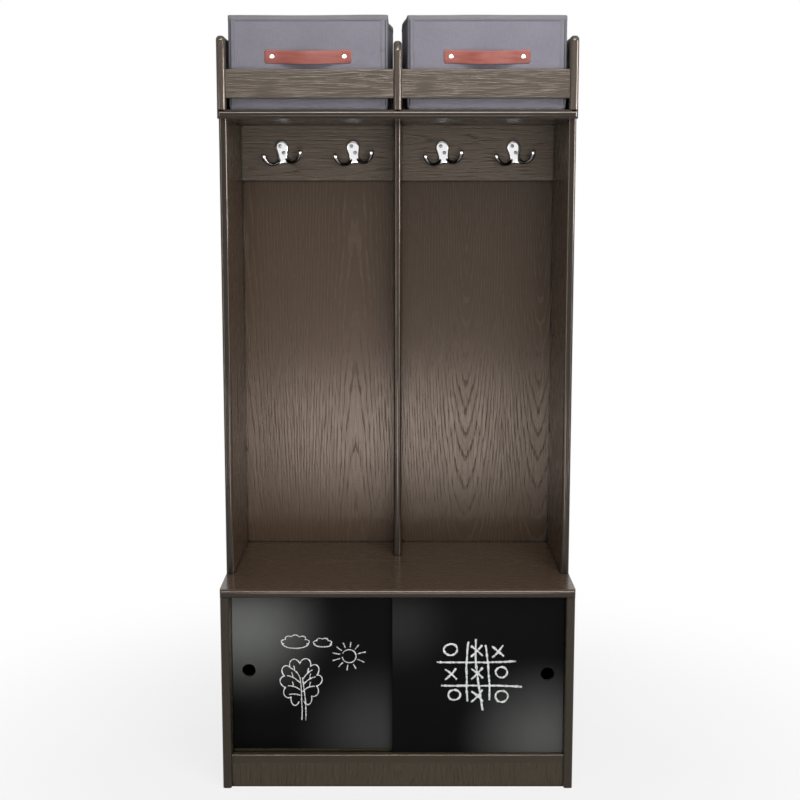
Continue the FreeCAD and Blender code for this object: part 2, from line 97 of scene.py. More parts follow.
def times(first, second):
    return sums("MULTIPLY", first, second)


def scaled(value, factor, shift):
    return sums("MULTIPLY_ADD", value, factor, shift)


def vectors(operation, *values):
    return got("ShaderNodeVectorMath", dict(enumerate(values)), operation=operation)


def length(vector):
    return put("ShaderNodeVectorMath", {0: vector}, operation="LENGTH").outputs["Value"]


def axes(vector):
    return put("ShaderNodeSeparateXYZ", {"Vector": vector}).outputs


def ramp(value, start, end, low=0.0, high=1.0):
    """A smooth step between two values of its input."""
    limits = {"Value": value, "From Min": start, "From Max": end, "To Min": low, "To Max": high}
    return got("ShaderNodeMapRange", limits, interpolation_type="SMOOTHSTEP")


def cloud(place, per_metre, detail=2.0):
    """Soft noise with its own number of features in a metre along each axis."""
    spread = vectors("MULTIPLY", place, per_metre)
    return got("ShaderNodeTexNoise", {"Vector": spread, "Scale": 1.0, "Detail": detail})


def mixed(share, first, second):
    return put("ShaderNodeMix", {0: share, 6: first, 7: second}, data_type="RGBA").outputs[2]


def bumped(height, depth, strength=1.0):
    return got("ShaderNodeBump", {"Strength": strength, "Distance": depth, "Height": height})


def new_material(name):
    material = bpy.data.materials.new(name)
    material.use_nodes = True
    return material, material.node_tree, material.node_tree.nodes["Principled BSDF"]


def object_place(tree):
    return put("ShaderNodeTexCoord", {}, tree).outputs["Object"]


def new_group(name, inputs, outputs):
    """An empty shader group, its input sockets and its output node."""
    group = bpy.data.node_groups.new(name, "ShaderNodeTree")
    for title, kind, value in inputs:
        socket = group.interface.new_socket(title, in_out="INPUT", socket_type="NodeSocket" + kind)
        if value is not None:
            socket.default_value = value
    for title in outputs:
        group.interface.new_socket(title, in_out="OUTPUT", socket_type="NodeSocketFloat")
    return group, group.nodes.new("NodeGroupInput").outputs, group.nodes.new("NodeGroupOutput")


oak_grain, given, result = new_group(
    "oak_grain",
    [
        ("Place", "Vector", None), ("Ring width", "Float", 0.007), ("Pith depth", "Float", 0.08),
        ("Taper", "Float", 0.1), ("Wander", "Float", 0.03),
    ],
    ["Early wood", "Pores", "Fibre"],
)
place = given["Place"]
along = axes(place)
drift = sums("SUBTRACT", cloud(place, (7.0, 7.0, 2.2)), 0.5)
shiver = sums("SUBTRACT", cloud(place, (90.0, 90.0, 12.0)), 0.5)
swing = scaled(drift, given["Wander"], times(shiver, 0.0035))
cut_depth = scaled(along["Z"], given["Taper"], given["Pith depth"])
from_pith = got("ShaderNodeCombineXYZ", {
    "X": sums("ADD", along["X"], swing), "Y": sums("ADD", cut_depth, swing),
})
season = sums("FRACT", sums("DIVIDE", length(from_pith), given["Ring width"]))
breaks = ramp(cloud(place, (260.0, 260.0, 38.0), 1.0), 0.38, 0.60, 0.30, 1.0)
ring_line = times(ramp(season, 0.08, 0.40, 1.0, 0.0), ramp(season, 0.0, 0.07))
early = times(ring_line, breaks)
dashes = ramp(cloud(place, (520.0, 520.0, 20.0), 1.0), 0.44, 0.62)
wire(result, {
    "Early wood": early,
    "Pores": times(dashes, scaled(early, 0.72, 0.28)),
    "Fibre": cloud(place, (210.0, 210.0, 3.0)),
})

solid_stain = (0.096, 0.079, 0.063)
hook_board_stain = (0.116, 0.094, 0.071)
rail_stain = (0.082, 0.068, 0.053)
leaf_stain = (0.066, 0.042, 0.025)
sheet_stain = (0.075, 0.050, 0.032)
base_stain = (0.054, 0.045, 0.028)
# A dark brown painted on the rounded lippings as the shade that falls on their rounding.
lipping_painted_shade = (0.020, 0.017, 0.0135, 1.0)
black = (0.0, 0.0, 0.0, 1.0)
early_weight, fibre_weight, pore_share = 0.6, 0.4, 0.3
early_shade, pore_shade = 0.70, 0.40
lipping_turn, lipping_fill = (0.62, 0.92), 0.8
# How near, over what range and how strongly the painted shade in joints and corners darkens the wood.
joint_shade_reach, joint_shade_ramp, painted_joint_shade = 0.008, (0.55, 0.80), 0.85
lacquer_roughness, early_roughness, pore_roughness = 0.18, 0.20, 0.22
lipping_roughness, lipping_polish = 0.11, 0.85
lacquer_gloss, lacquer_warmth = 0.35, (1.0, 0.83, 0.73, 1.0)
grain_depth, early_dip = 0.0005, 0.3


def shaded(colour, shade):
    return tuple(part * shade for part in colour) + (1.0,)


def stained_oak(name, place_of, stain, thickness_axis, edge_shade, figure, relief, cut):
    """Satin lacquer over stained oak. place_of(tree) gives the board's own place for the grain; its solid
    lippings, which face away from its thickness, are painted darker as the shade on their rounding and
    have smoother lacquer, and painted shade darkens the colour near joints and inner corners."""
    material, tree, shader = new_material(name)
    cut = {**cut, **place_of(tree)}
    darker = cut.pop("Darker", None)
    early_wood, pores, fibre = put("ShaderNodeGroup", cut, node_tree=oak_grain).outputs
    shade = scaled(early_wood, early_weight, times(fibre, fibre_weight))
    wood = mixed(times(shade, figure), shaded(stain, 1.0), shaded(stain, early_shade))
    wood = mixed(times(pores, pore_share * figure), wood, shaded(stain, pore_shade))
    facing = put("ShaderNodeNewGeometry", {}, tree).outputs["Normal"]
    square_on = sums("ABSOLUTE", axes(facing)[thickness_axis])
    on_lipping = ramp(square_on, *lipping_turn, 1.0, 0.0)
    # Painted shade: the lippings are darkened towards that dark brown, by each board's share of edge shade.
    wood = mixed(times(on_lipping, edge_shade), wood, lipping_painted_shade)
    if darker is not None:
        wood = mixed(darker, wood, black)
    # Painted shade: the colour is darkened towards black where ambient occlusion finds other surfaces close,
    # in joints and inner corners.
    occlusion = put("ShaderNodeAmbientOcclusion", {"Distance": joint_shade_reach}, tree, samples=8).outputs["AO"]
    wood = mixed(ramp(occlusion, *joint_shade_ramp, painted_joint_shade, 0.0), wood, black)
    brushed = scaled(early_wood, early_roughness, lacquer_roughness)
    rough = got("ShaderNodeMapRange", {
        "Value": times(on_lipping, lipping_polish), "From Min": 0.0, "From Max": 1.0,
        "To Min": scaled(pores, pore_roughness, brushed), "To Max": lipping_roughness,
    })
    dip = scaled(early_wood, -early_dip, times(pores, -1.0))
    flatter = times(dip, scaled(on_lipping, -lipping_fill, 1.0))
    wire(shader, {
        "Base Color": wood, "Roughness": rough, "Normal": bumped(flatter, grain_depth, relief),
        "Specular IOR Level": lacquer_gloss, "Specular Tint": lacquer_warmth,
    })
    return material


def board_place(order, heart):
    """The grain's place on a board: its face across, its thickness and its grain, in that order of axes."""
    def place_of(tree):
        board_axes = axes(object_place(tree))
        turned = got("ShaderNodeCombineXYZ", {i: board_axes[axis] for i, axis in enumerate(order)})
        return {"Place": vectors("SUBTRACT", turned, heart)}
    return place_of


def dress(piece, material):
    piece.data.materials.clear()
    piece.data.materials.append(material)


upright_side_on, upright_face_on = "YXZ", "XYZ"
lengthways_face_on, lengthways_flat = "ZYX", "YZX"
straight_cut = {"Taper": 0.04, "Pith depth": 0.05, "Ring width": 0.0060, "Wander": 0.02}
streaked_cut = {"Taper": 0.03, "Pith depth": 0.012, "Ring width": 0.0095, "Wander": 0.11}
figured_cut = {"Taper": 0.07, "Pith depth": 0.020, "Ring width": 0.0068, "Wander": 0.03}
# Each kind of board: its grain, stain, painted shade on its lippings, figure, relief and cut, and the boards
# of that kind.
board_kinds = (
    (upright_side_on, base_stain, 0.75, 0.7, 0.4, straight_cut, ("left_base_side", "right_base_side")),
    (upright_side_on, sheet_stain, 1.0, 0.6, 0.4, straight_cut, ("left_upper_side", "right_upper_side")),
    (upright_side_on, sheet_stain, 0.8, 0.6, 0.4, straight_cut, ("centre_divider",)),
    (upright_side_on, solid_stain, 0.3, 0.8, 0.4, straight_cut, (
        "left_gallery_side", "right_gallery_side", "gallery_divider",
    )),
    (upright_face_on, base_stain, 0.0, 1.5, 2.0, streaked_cut, ("toe_kick",)),
    (upright_face_on, sheet_stain, 0.0, 0.8, 0.4, straight_cut, ("lower_back_panel",)),
    (lengthways_face_on, hook_board_stain, 0.0, 1.0, 1.0, figured_cut, (
        "left_hook_board", "right_hook_board",
    )),
    (lengthways_face_on, rail_stain, 0.0, 0.8, 0.6, figured_cut, (
        "left_gallery_rail", "right_gallery_rail", "gallery_back_rail",
    )),
    (lengthways_flat, solid_stain, 1.0, 0.5, 0.25, straight_cut, ("top_shelf",)),
    (lengthways_flat, sheet_stain, 0.9, 0.3, 0.12, straight_cut, ("bench_top",)),
    (lengthways_flat, base_stain, 0.5, 0.5, 0.25, straight_cut, ("cabinet_floor",)),
)
heart_offset = 0.03
board_finish = {}
for grain_way, stain, edge_shade, figure, relief, cut, board_names in board_kinds:
    for node in board_names:
        low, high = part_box(node)
        middle = (low + high) / 2
        heart = [middle["XYZ".index(axis)] for axis in grain_way]
        count = len(board_finish)
        heart[0] += heart_offset * math.sin(2.4 * count)
        heart[2] += heart_offset * math.cos(1.7 * count)
        board_finish[node] = stained_oak(
            "oak_" + node, board_place(grain_way, heart), stain, grain_way[1], edge_shade, figure, relief, cut
        )
        dress(nodes[node], board_finish[node])


# Loose tenons. Short slips of bare beech, glued into slots across each joint between stacked sides. They are
# flecked along the grain and out of sight once the unit is put together.
beech_light, beech_dark = (0.50, 0.34, 0.20, 1.0), (0.42, 0.27, 0.15, 1.0)
beech_fleck = (0.30, 0.17, 0.09, 1.0)
bare_beech, tree, shader = new_material("bare_beech")
place = object_place(tree)
flecks = ramp(cloud(place, (300.0, 700.0, 90.0), 2.0), 0.52, 0.66)
growth = cloud(place, (60.0, 160.0, 8.0), 2.0)
wire(shader, {
    "Base Color": mixed(flecks, mixed(growth, beech_light, beech_dark), beech_fleck),
    "Roughness": scaled(growth, 0.15, 0.55), "Normal": bumped(flecks, 0.0001),
})
dress(nodes["loose_tenons"], bare_beech)


# Upper back panel. One thin sheet caught in grooves, faced with two leaves of the same oak: the left
# leaf shows tall arches, and the right leaf, a little darker and turned end for end, shows the figure
# as nested points.
left_leaf_hearts, right_leaf_hearts = (-0.086, -0.312), (0.139, 0.288)
# For the left and the right leaf: its heart's height, its taper, its pith's depth, how pointed it is,
# which way up and how much darker it is, and a step to another part of the log.
leaf_heart_z = (0.590, 0.617)
leaf_taper = (0.0344, 0.0954)
leaf_pith = (0.0416, 0.0468)
leaf_point = (0.004, 0.008)
leaf_way_up = (1.0, -1.0)
leaf_darker = (0.0, 0.30)
leaf_step = (0.0, 0.4)
leaf_cut = {"Ring width": 0.0052, "Wander": 0.010}


def leaf_place(tree):
    """The place from the nearer of a leaf's two hearts, with the taper and depth of that leaf's cut."""
    x, y, z = axes(object_place(tree))
    right = sums("GREATER_THAN", x, 0.0)

    def by_leaf(values):
        return scaled(right, values[1] - values[0], values[0])

    from_hearts = [
        sums("ABSOLUTE", sums("SUBTRACT", x, by_leaf(pair)))
        for pair in zip(left_leaf_hearts, right_leaf_hearts)
    ]
    nearer = sums("MINIMUM", *from_hearts)
    pointed = times(nearer, sums("ADD", nearer, by_leaf(leaf_point)))
    from_heart_z = sums("SUBTRACT", z, by_leaf(leaf_heart_z))
    place = got("ShaderNodeCombineXYZ", {
        "X": sums("SQRT", pointed), "Y": sums("ADD", y, by_leaf(leaf_step)),
        "Z": times(from_heart_z, by_leaf(leaf_way_up)),
    })
    return {
        "Place": place, "Taper": by_leaf(leaf_taper), "Pith depth": by_leaf(leaf_pith),
        "Darker": by_leaf(leaf_darker),
    }


back_leaves = stained_oak("oak_back_leaves", leaf_place, leaf_stain, "Y", 0.0, 0.8, 0.3, leaf_cut)
dress(nodes["upper_back_panel"], back_leaves)


# Gallery sides and divider. Solid boards with their exposed edges rounded over by a router, the sides
# with small corners at the top and the divider with a wide curve at the front. Loose tenons and rails
# hold them.
def linked(name, data):
    piece = bpy.data.objects.new(name, data)
    bpy.context.scene.collection.objects.link(piece)
    return piece


def mesh_of(name, shape, sharp_degrees=40.0):
    """A mesh from a bmesh, smooth apart from edges sharper than an angle."""
    bmesh.ops.recalc_face_normals(shape, faces=shape.faces)
    mesh = bpy.data.meshes.new(name)
    shape.to_mesh(mesh)
    shape.free()
    mesh.shade_smooth()
    mesh.set_sharp_from_angle(angle=math.radians(sharp_degrees))
    return mesh


def arc(x, y, radius, start_degrees, steps):
    """Points of a quarter turn about a point of a plane."""
    turns = [math.radians(start_degrees + 90.0 * step / steps) for step in range(steps + 1)]
    return [(x + radius * math.cos(turn), y + radius * math.sin(turn)) for turn in turns]


def rounded_board(name, outline, x_low, x_high, round_over, foot_z):
    """A board cut to an outline seen from the side, its edges rounded over except along its foot."""
    shape = bmesh.new()
    face = shape.faces.new([shape.verts.new((x_low, y, z)) for y, z in outline])
    grown_face = bmesh.ops.extrude_face_region(shape, geom=[face])
    far = [v for v in grown_face["geom"] if isinstance(v, bmesh.types.BMVert)]
    bmesh.ops.translate(shape, verts=far, vec=(x_high - x_low, 0, 0))
    rim = [
        edge for edge in shape.edges
        if abs(edge.verts[0].co.x - edge.verts[1].co.x) < 1e-6 and max(v.co.z for v in edge.verts) > foot_z
    ]
    bmesh.ops.bevel(shape, geom=rim, offset=round_over, segments=7, profile=0.5, affect="EDGES")
    return linked(name, mesh_of(name, shape))


def belongs(piece, body, node=None):
    """Let a piece ride on its body, in place of a CAD node if there is one."""
    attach(piece, body)
    if node is not None:
        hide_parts(node)


gallery_round_over, gallery_corner, divider_curve, gallery_steps = 0.0068, 0.009, 0.020, 8
shelf_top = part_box("top_shelf")[1].z
for node in ("left_gallery_side", "right_gallery_side", "gallery_divider"):
    low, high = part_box(node)
    front = gallery_corner
    rear = arc(high.y - gallery_corner, high.z - gallery_corner, gallery_corner, 0.0, gallery_steps)
    if node == "gallery_divider":
        front = divider_curve
        rear = [(high.y, high.z)]
    outline = [(low.y, shelf_top), (high.y, shelf_top)] + rear
    outline += arc(low.y + front, high.z - front, front, 90.0, gallery_steps)
    board = rounded_board(node + "_board", outline, low.x, high.x, gallery_round_over, shelf_top)
    dress(board, board_finish[node])
    belongs(board, "cabinet", node)


# Coat hooks. Cast zinc double hooks, polished and chrome plated: a keyhole-shaped plate with two round prongs
# that leave its foot, bend forward and up, and end in blunt knobs. Each hangs a little turned on its screws.
def unit(value):
    return min(1.0, max(0.0, value))


def smooth(start, end, value):
    share = unit((value - start) / (end - start))
    return share * share * (3.0 - 2.0 * share)


def circle(count):
    """The cosine and sine at even steps of a full turn."""
    turns = [2 * math.pi * step / count for step in range(count)]
    return [(math.cos(turn), math.sin(turn)) for turn in turns]


def smooth_loop(points, steps):
    """A closed smooth curve through a few points of a plane."""
    count = len(points)
    loop = []
    for index in range(count):
        a, b, c, d = (Vector(points[(index + step) % count]) for step in (-1, 0, 1, 2))
        for step in range(steps):
            t = step / steps
            bend = (2 * a - 5 * b + 4 * c - d) * t + (3 * b - a - 3 * c + d) * t * t
            loop.append(b + 0.5 * t * (c - a + bend))
    return loop


def skin(shape, rings, uv_of=None, capped=True):
    """Faces between rings of points that have the same count. The ends are capped, or else joined to
    each other. uv_of(ring, point) gives the UV map. The caps come back, if there are any."""
    layers = shape.loops.layers.uv
    layer = (layers.get("UVMap") or layers.new("UVMap")) if uv_of else None
    rows = [[shape.verts.new(point) for point in ring] for ring in rings]
    count = len(rows[0])
    for low in range(len(rows) - 1 if capped else len(rows)):
        near, far = rows[low], rows[(low + 1) % len(rows)]
        for index in range(count):
            after = (index + 1) % count
            face = shape.faces.new((near[index], near[after], far[after], far[index]))
            if uv_of:
                spots = ((low, index), (low, index + 1), (low + 1, index + 1), (low + 1, index))
                for loop, spot in zip(face.loops, spots):
                    loop[layer].uv = uv_of(*spot)
    return [shape.faces.new(row) for row in (rows[0], rows[-1])] if capped else []


def skinned(name, rings, sharp_degrees=40.0, uv_of=None):
    """A closed mesh through rings of points."""
    shape = bmesh.new()
    skin(shape, rings, uv_of)
    return mesh_of(name, shape, sharp_degrees)


millimetre = 0.001
# The hook is drawn in millimetres, from the middle of its round head.
half_plate = [(0.0, 12.5), (8.9, 8.8), (12.5, 0.0), (11.6, -6.4), (9.7, -14.5), (9.0, -22.5), (9.6, -28.5)]
plate_foot = [(11.4, -34.0), (5.0, -32.4)]
plate_points = half_plate + plate_foot + [(0.0, -31.6)]
plate_points += [(-x, z) for x, z in reversed(half_plate[1:] + plate_foot)]
# How far the plate's edge is drawn in and stands forward, as its face rounds over and domes.
plate_edges = ((0.0, 0.0), (0.0, 4.4), (0.25, 5.2), (0.7, 5.8), (1.4, 6.1), (4.0, 6.35), (6.5, 6.5))
plate_middle, plate_half_wide, plate_half_tall = -10.8, 10.5, 23.0


def hook_plate_mesh():
    loop = smooth_loop(plate_points, 6)
    rings = []
    for inset, forward in plate_edges:
        narrow, short = 1.0 - inset / plate_half_wide, 1.0 - inset / plate_half_tall
        rings.append([
            Vector((point.x * narrow, -forward, plate_middle + (point.y - plate_middle) * short)) * millimetre
            for point in loop
        ])
    return skinned("hook_plate", rings)


prong_bend, prong_low, prong_root_depth = 22.4, (19.0, -32.8), 2.6
prong_forward, prong_root, prong_tip = math.radians(38.5), math.radians(-50.0), math.radians(77.0)
prong_thin, prong_thick, prong_knob, prong_nose = 3.4, 3.8, 4.5, 5.4
prong_waist_end, prong_knob_start = 0.9, 0.72
prong_steps, prong_sides = 36, 24


def prong_mesh(side):
    """A prong on one arc: thick at the root, thinner in the middle, swelling to a round-nosed knob."""
    ahead = Vector((side * math.cos(prong_forward), -math.sin(prong_forward), 0))
    up = Vector((0, 0, 1))
    across = ahead.cross(up)
    reach = prong_bend * math.sin(-prong_root)
    bottom = Vector((side * prong_low[0], -prong_root_depth - reach * math.sin(prong_forward), prong_low[1]))
    centre = bottom + up * prong_bend
    spine = []
    for step in range(prong_steps + 1):
        share = step / prong_steps
        turn = prong_root + (prong_tip - prong_root) * share
        place = centre + prong_bend * (ahead * math.sin(turn) - up * math.cos(turn))
        heading = ahead * math.cos(turn) + up * math.sin(turn)
        swell = max(0.0, (share - prong_knob_start) / (1.0 - prong_knob_start)) ** 2
        thinned = math.sin(math.pi * min(1.0, share / prong_waist_end)) ** 2
        waist = prong_thick + (prong_thin - prong_thick) * thinned
        spine.append((place, heading, waist + (prong_knob - waist) * swell))
    place, heading, radius = spine[-1]
    for nose_degrees in (20, 40, 58, 74, 86):
        angle = math.radians(nose_degrees)
        spine.append((place + heading * prong_nose * math.sin(angle), heading, radius * math.cos(angle)))
    rings = []
    for place, heading, radius in spine:
        over = heading.cross(across)
        rings.append([
            (place + radius * (across * x + over * y)) * millimetre for x, y in circle(prong_sides)
        ])
    return skinned("hook_prong", rings)


screw_places = ((-2.8, 1.8), (2.8, -11.9))
plate_face = 6.0
screw_room, screw_sink, screw_room_sides = 3.95, 1.6, 32
screw_seat = plate_face - screw_sink


def screw_room_mesh():
    """The counterbores that the screw heads sit in."""
    shape = bmesh.new()
    for place_x, place_z in screw_places:
        skin(shape, [
            [
                Vector((place_x + screw_room * x, -depth, place_z + screw_room * z)) * millimetre
                for x, z in circle(screw_room_sides)
            ]
            for depth in (screw_seat, plate_face + 3.0)
        ])
    return mesh_of("screw_room", shape)


def as_built(piece):
    """The plain mesh that a piece's modifiers make of it."""
    bpy.context.view_layer.update()
    return bpy.data.meshes.new_from_object(piece.evaluated_get(bpy.context.evaluated_depsgraph_get()))


def joined(name, base, others):
    """One mesh from a base, with each other mesh joined to it or cut out of it."""
    piece = linked(name, base)
    helpers = []
    for mesh, operation in others:
        helpers.append(linked("helper", mesh))
        cut = piece.modifiers.new("cut", "BOOLEAN")
        cut.object, cut.operation, cut.solver = helpers[-1], operation, "EXACT"
    made = as_built(piece)
    for extra in helpers + [piece]:
        bpy.data.objects.remove(extra)
    made.name = name
    made.shade_smooth()
    made.set_sharp_from_angle(angle=math.radians(38.0))
    return made


def geometry_tree(name, inputs):
    """An empty geometry tree with a mesh going in and out, and named inputs."""
    tree = bpy.data.node_groups.new(name, "GeometryNodeTree")
    tree.interface.new_socket("Geometry", in_out="INPUT", socket_type="NodeSocketGeometry")
    for title, kind in inputs:
        tree.interface.new_socket(title, in_out="INPUT", socket_type="NodeSocket" + kind)
    tree.interface.new_socket("Geometry", in_out="OUTPUT", socket_type="NodeSocketGeometry")
    return tree, tree.nodes.new("NodeGroupInput").outputs


def close_tree(tree, geometry, material):
    real = got("GeometryNodeRealizeInstances", {"Geometry": geometry})
    coated = got("GeometryNodeSetMaterial", {"Geometry": real, "Material": material})
    tree.links.new(coated, tree.nodes.new("NodeGroupOutput").inputs[0])


def lines_mesh(lines):
    """Loose edges along lines of points, or loose points."""
    points = []
    edges = []
    for line in lines:
        first = len(points)
        points += line
        edges += [(first + step, first + step + 1) for step in range(len(line) - 1)]
    mesh = bpy.data.meshes.new("lines")
    mesh.from_pydata(points, edges, [])
    return mesh


def grown(name, lines, tree, inputs):
    """The plain mesh piece that a geometry tree makes along lines or on points."""
    piece = linked(name, lines_mesh(lines))
    modifier = piece.modifiers.new("tree", "NODES")
    modifier.node_group = tree
    for item in tree.interface.items_tree:
        if item.in_out == "INPUT" and item.name in inputs:
            modifier[item.identifier] = inputs[item.name]
    made = as_built(piece)
    piece.modifiers.clear()
    piece.data = made
    return piece


# On each point of the starting mesh, one copy of a fitting.
fittings, asked = geometry_tree("fittings_on_points", [
    ("Fitting", "Object"), ("Turn", "Rotation"), ("Finish", "Material"),
])
pattern = put("GeometryNodeObjectInfo", {"Object": asked["Fitting"], "As Instance": True})
copies = got("GeometryNodeInstanceOnPoints", {
    "Points": asked["Geometry"], "Instance": pattern.outputs["Geometry"], "Rotation": asked["Turn"],
})
close_tree(fittings, copies, asked["Finish"])


def fitted(name, mesh, points, turn, finish):
    """One piece with a copy of a fitting on each point."""
    pattern = linked("pattern", mesh)
    piece = grown(name, [[point] for point in points], fittings, {
        "Fitting": pattern, "Turn": turn, "Finish": finish,
    })
    bpy.data.objects.remove(pattern)
    return piece


def polished_metal(name, colour, roughness, smear, painted_dark=None):
    """Plated metal with faint wiping marks and a trace of casting ripple; where a dark colour is given, it is
    painted in as a reflection of dark surroundings wherever a point's chrome share is low.
    """
    material, tree, shader = new_material(name)
    place = object_place(tree)
    marks = cloud(place, (180.0, 180.0, 60.0), 3.0)
    ripple = cloud(place, (240.0, 240.0, 240.0), 1.0)
    wire(shader, {
        "Base Color": colour, "Metallic": 1.0, "Normal": bumped(ripple, 0.00006),
        "Roughness": scaled(marks, smear, roughness),
    })
    if painted_dark:
        chrome_share = put("ShaderNodeAttribute", {}, tree, attribute_name="chrome_share").outputs["Fac"]
        wire(shader, {"Base Color": mixed(chrome_share, painted_dark, colour)})
    return material


arm_ahead_of_plate, arm_beside_plate, knob_turn = (0.8, 2.4), (1.5, 3.0), (50.0, 66.0)


def mark_painted_arms(mesh):
    """Mark where a hook keeps its plain chrome colour: its plate and the prongs' knobs; the arms get a
    painted dark reflection.
    """
    marks = mesh.attributes.new("chrome_share", "FLOAT", "POINT")
    for point, mark in zip(mesh.vertices, marks.data):
        x, y, z = point.co / millimetre
        ahead = (abs(x) - prong_low[0]) * math.cos(prong_forward)
        turn = math.degrees(math.atan2(ahead, prong_low[1] + prong_bend - z))
        ahead_of_plate = smooth(*arm_ahead_of_plate, -y - plate_face)
        beside_plate = smooth(*arm_beside_plate, abs(x) - plate_half_wide)
        mark.value = 1.0 - max(ahead_of_plate, beside_plate) * (1.0 - smooth(*knob_turn, turn))
    return mesh


hook_spacing, hook_drop = 0.141, 0.0435
hook_tilt = Matrix.Rotation(math.radians(6.0), 4, Vector((0, -1, 0)))
hook_points = []
for node in ("left_hook_board", "right_hook_board"):
    low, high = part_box(node)
    bay_x = (low.x + high.x) / 2
    hook_points += [(bay_x + step * hook_spacing / 2, low.y, high.z - hook_drop) for step in (-1, 1)]

# The arms are painted dark as the reflection of dark surroundings; the plate and the knobs keep the bright
# chrome.
chrome = polished_metal("hook_chrome_plate", (0.84, 0.84, 0.85, 1.0), 0.05, 0.10, (0.16, 0.155, 0.15, 1.0))
hook_mesh = mark_painted_arms(joined("hook", hook_plate_mesh(), [
    (prong_mesh(-1), "UNION"), (prong_mesh(1), "UNION"), (screw_room_mesh(), "DIFFERENCE"),
]))
hooks = fitted("coat_hook_castings", hook_mesh, hook_points, hook_tilt.to_euler(), chrome)
belongs(hooks, "cabinet", "coat_hooks")


# Hook screws. Zinc plated wood screws with low domed heads and a cross recess, driven through each plate into
# the board. Only the heads show.
screw_head_radius, screw_head_rise, screw_edge = 3.7, 1.5, 0.7
recess_arm, recess_width, recess_depth = 2.1, 0.42, 1.1
screw_rows, screw_columns = 14, 48


def screw_head_mesh():
    """A domed head facing the front, its cross pressed into the dome."""
    rings = []
    for row in range(1, screw_rows + 1):
        radius = screw_head_radius * row / screw_rows
        rise = screw_edge + screw_head_rise * (1 - (radius / screw_head_radius) ** 2)
        ring = []
        for x, z in circle(screw_columns):
            x, z = radius * x, radius * z
            in_arm = min(abs(x), abs(z)) < recess_width and max(abs(x), abs(z)) < recess_arm
            ring.append(Vector((x, (recess_depth if in_arm else 0.0) - rise, z)) * millimetre)
        rings.append(ring)
    rings.append([Vector((point.x, 0.0, point.z)) for point in rings[-1]])
    return skinned("screw_head", rings, 50.0)


screw_points = [
    Vector(point) + hook_tilt @ (Vector((x, -screw_seat, z)) * millimetre)
    for point in hook_points
    for x, z in screw_places
]
zinc = polished_metal("screw_zinc_plate", (0.50, 0.50, 0.51, 1.0), 0.24, 0.2)
screws = fitted("hook_screw_heads", screw_head_mesh(), screw_points, hook_tilt.to_euler(), zinc)
belongs(screws, "cabinet", "hook_screws")


# Sliding doors. Thin boards painted with satin black chalkboard paint, with pale patches towards two
# corners painted into the colour as reflections of light. They stand in grooves of the floor and the bench
# and slide past each other.
# A pale patch of painted reflection, fading out from its middle and mottled.
painted_glare, given, result = new_group(
    "painted_glare",
    [
        ("Place", "Vector", None), ("Middle", "Vector", None), ("Reach", "Float", 0.1),
        ("Amount", "Float", 0.1),
    ],
    ["Haze"],
)
place = given["Place"]
away = length(vectors("SUBTRACT", place, given["Middle"]))
falling = ramp(sums("DIVIDE", away, given["Reach"]), 0.0, 1.0, 1.0, 0.0)
glare_mottle = scaled(cloud(place, (9.0, 9.0, 5.0), 3.0), 0.6, 0.7)
wire(result, {"Haze": times(times(falling, glare_mottle), given["Amount"])})

slate_black = (0.0026, 0.0027, 0.0029, 1.0)
# The pale grey of the painted reflections.
glare_grey = (0.62, 0.64, 0.61, 1.0)


def chalkboard(name, glare_spots):
    """Satin black paint with a painted reflection about some spots, each with its middle, reach and amount.
    """
    material, tree, shader = new_material(name)
    place = object_place(tree)
    glare = 0.0
    for middle, reach, amount in glare_spots:
        spot = {"Place": place, "Middle": middle, "Reach": reach, "Amount": amount}
        glare = sums("ADD", glare, got("ShaderNodeGroup", spot, node_tree=painted_glare))
    rubbed = cloud(place, (40.0, 40.0, 12.0), 3.0)
    brushed = cloud(place, (700.0, 700.0, 700.0), 1.0)
    wire(shader, {
        "Base Color": mixed(glare, slate_black, glare_grey), "Specular IOR Level": 0.03,
        "Roughness": scaled(rubbed, 0.12, 0.36), "Normal": bumped(brushed, 0.00004),
    })
    return material


left_face_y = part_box("left_door")[0].y
right_face_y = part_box("right_door")[0].y
dress(nodes["left_door"], chalkboard("chalkboard_left", [
    ((-0.305, left_face_y, 0.335), 0.19, 0.25), ((-0.27, left_face_y, 0.29), 0.17, 0.08),
    ((-0.03, left_face_y, 0.07), 0.18, 0.085),
]))
dress(nodes["right_door"], chalkboard("chalkboard_right", [
    ((0.0, right_face_y, 0.315), 0.12, 0.030), ((0.27, right_face_y, 0.085), 0.17, 0.150),
]))


# Chalk drawings. Plain blackboard doodles in soft white chalk: a tree, a sun and two clouds on the
# left door and a finished game of noughts and crosses on the right. The strokes lie on the paint,
# thin and ragged.
def stroke(steps, place_at):
    """Points of a stroke at even shares of the way along it."""
    return [place_at(step / steps) for step in range(steps + 1)]


def straight(start, end, bow=0.0, steps=14):
    """A stroke between two points, bowed sideways by a part of its length."""
    x_run, z_run = end[0] - start[0], end[1] - start[1]

    def place_at(share):
        lift = 4 * bow * share * (1 - share)
        return start[0] + x_run * share - z_run * lift, start[1] + z_run * share + x_run * lift
    return stroke(steps, place_at)


def ring(x, z, wide, tall, start_degrees, sweep_degrees, drift=0.0):
    """A stroke round a point that may end a little inside where it began."""
    def place_at(share):
        turn = math.radians(start_degrees + sweep_degrees * share)
        size = 1.0 - drift * share
        return x + wide * size * math.cos(turn), z + tall * size * math.sin(turn)
    return stroke(36, place_at)


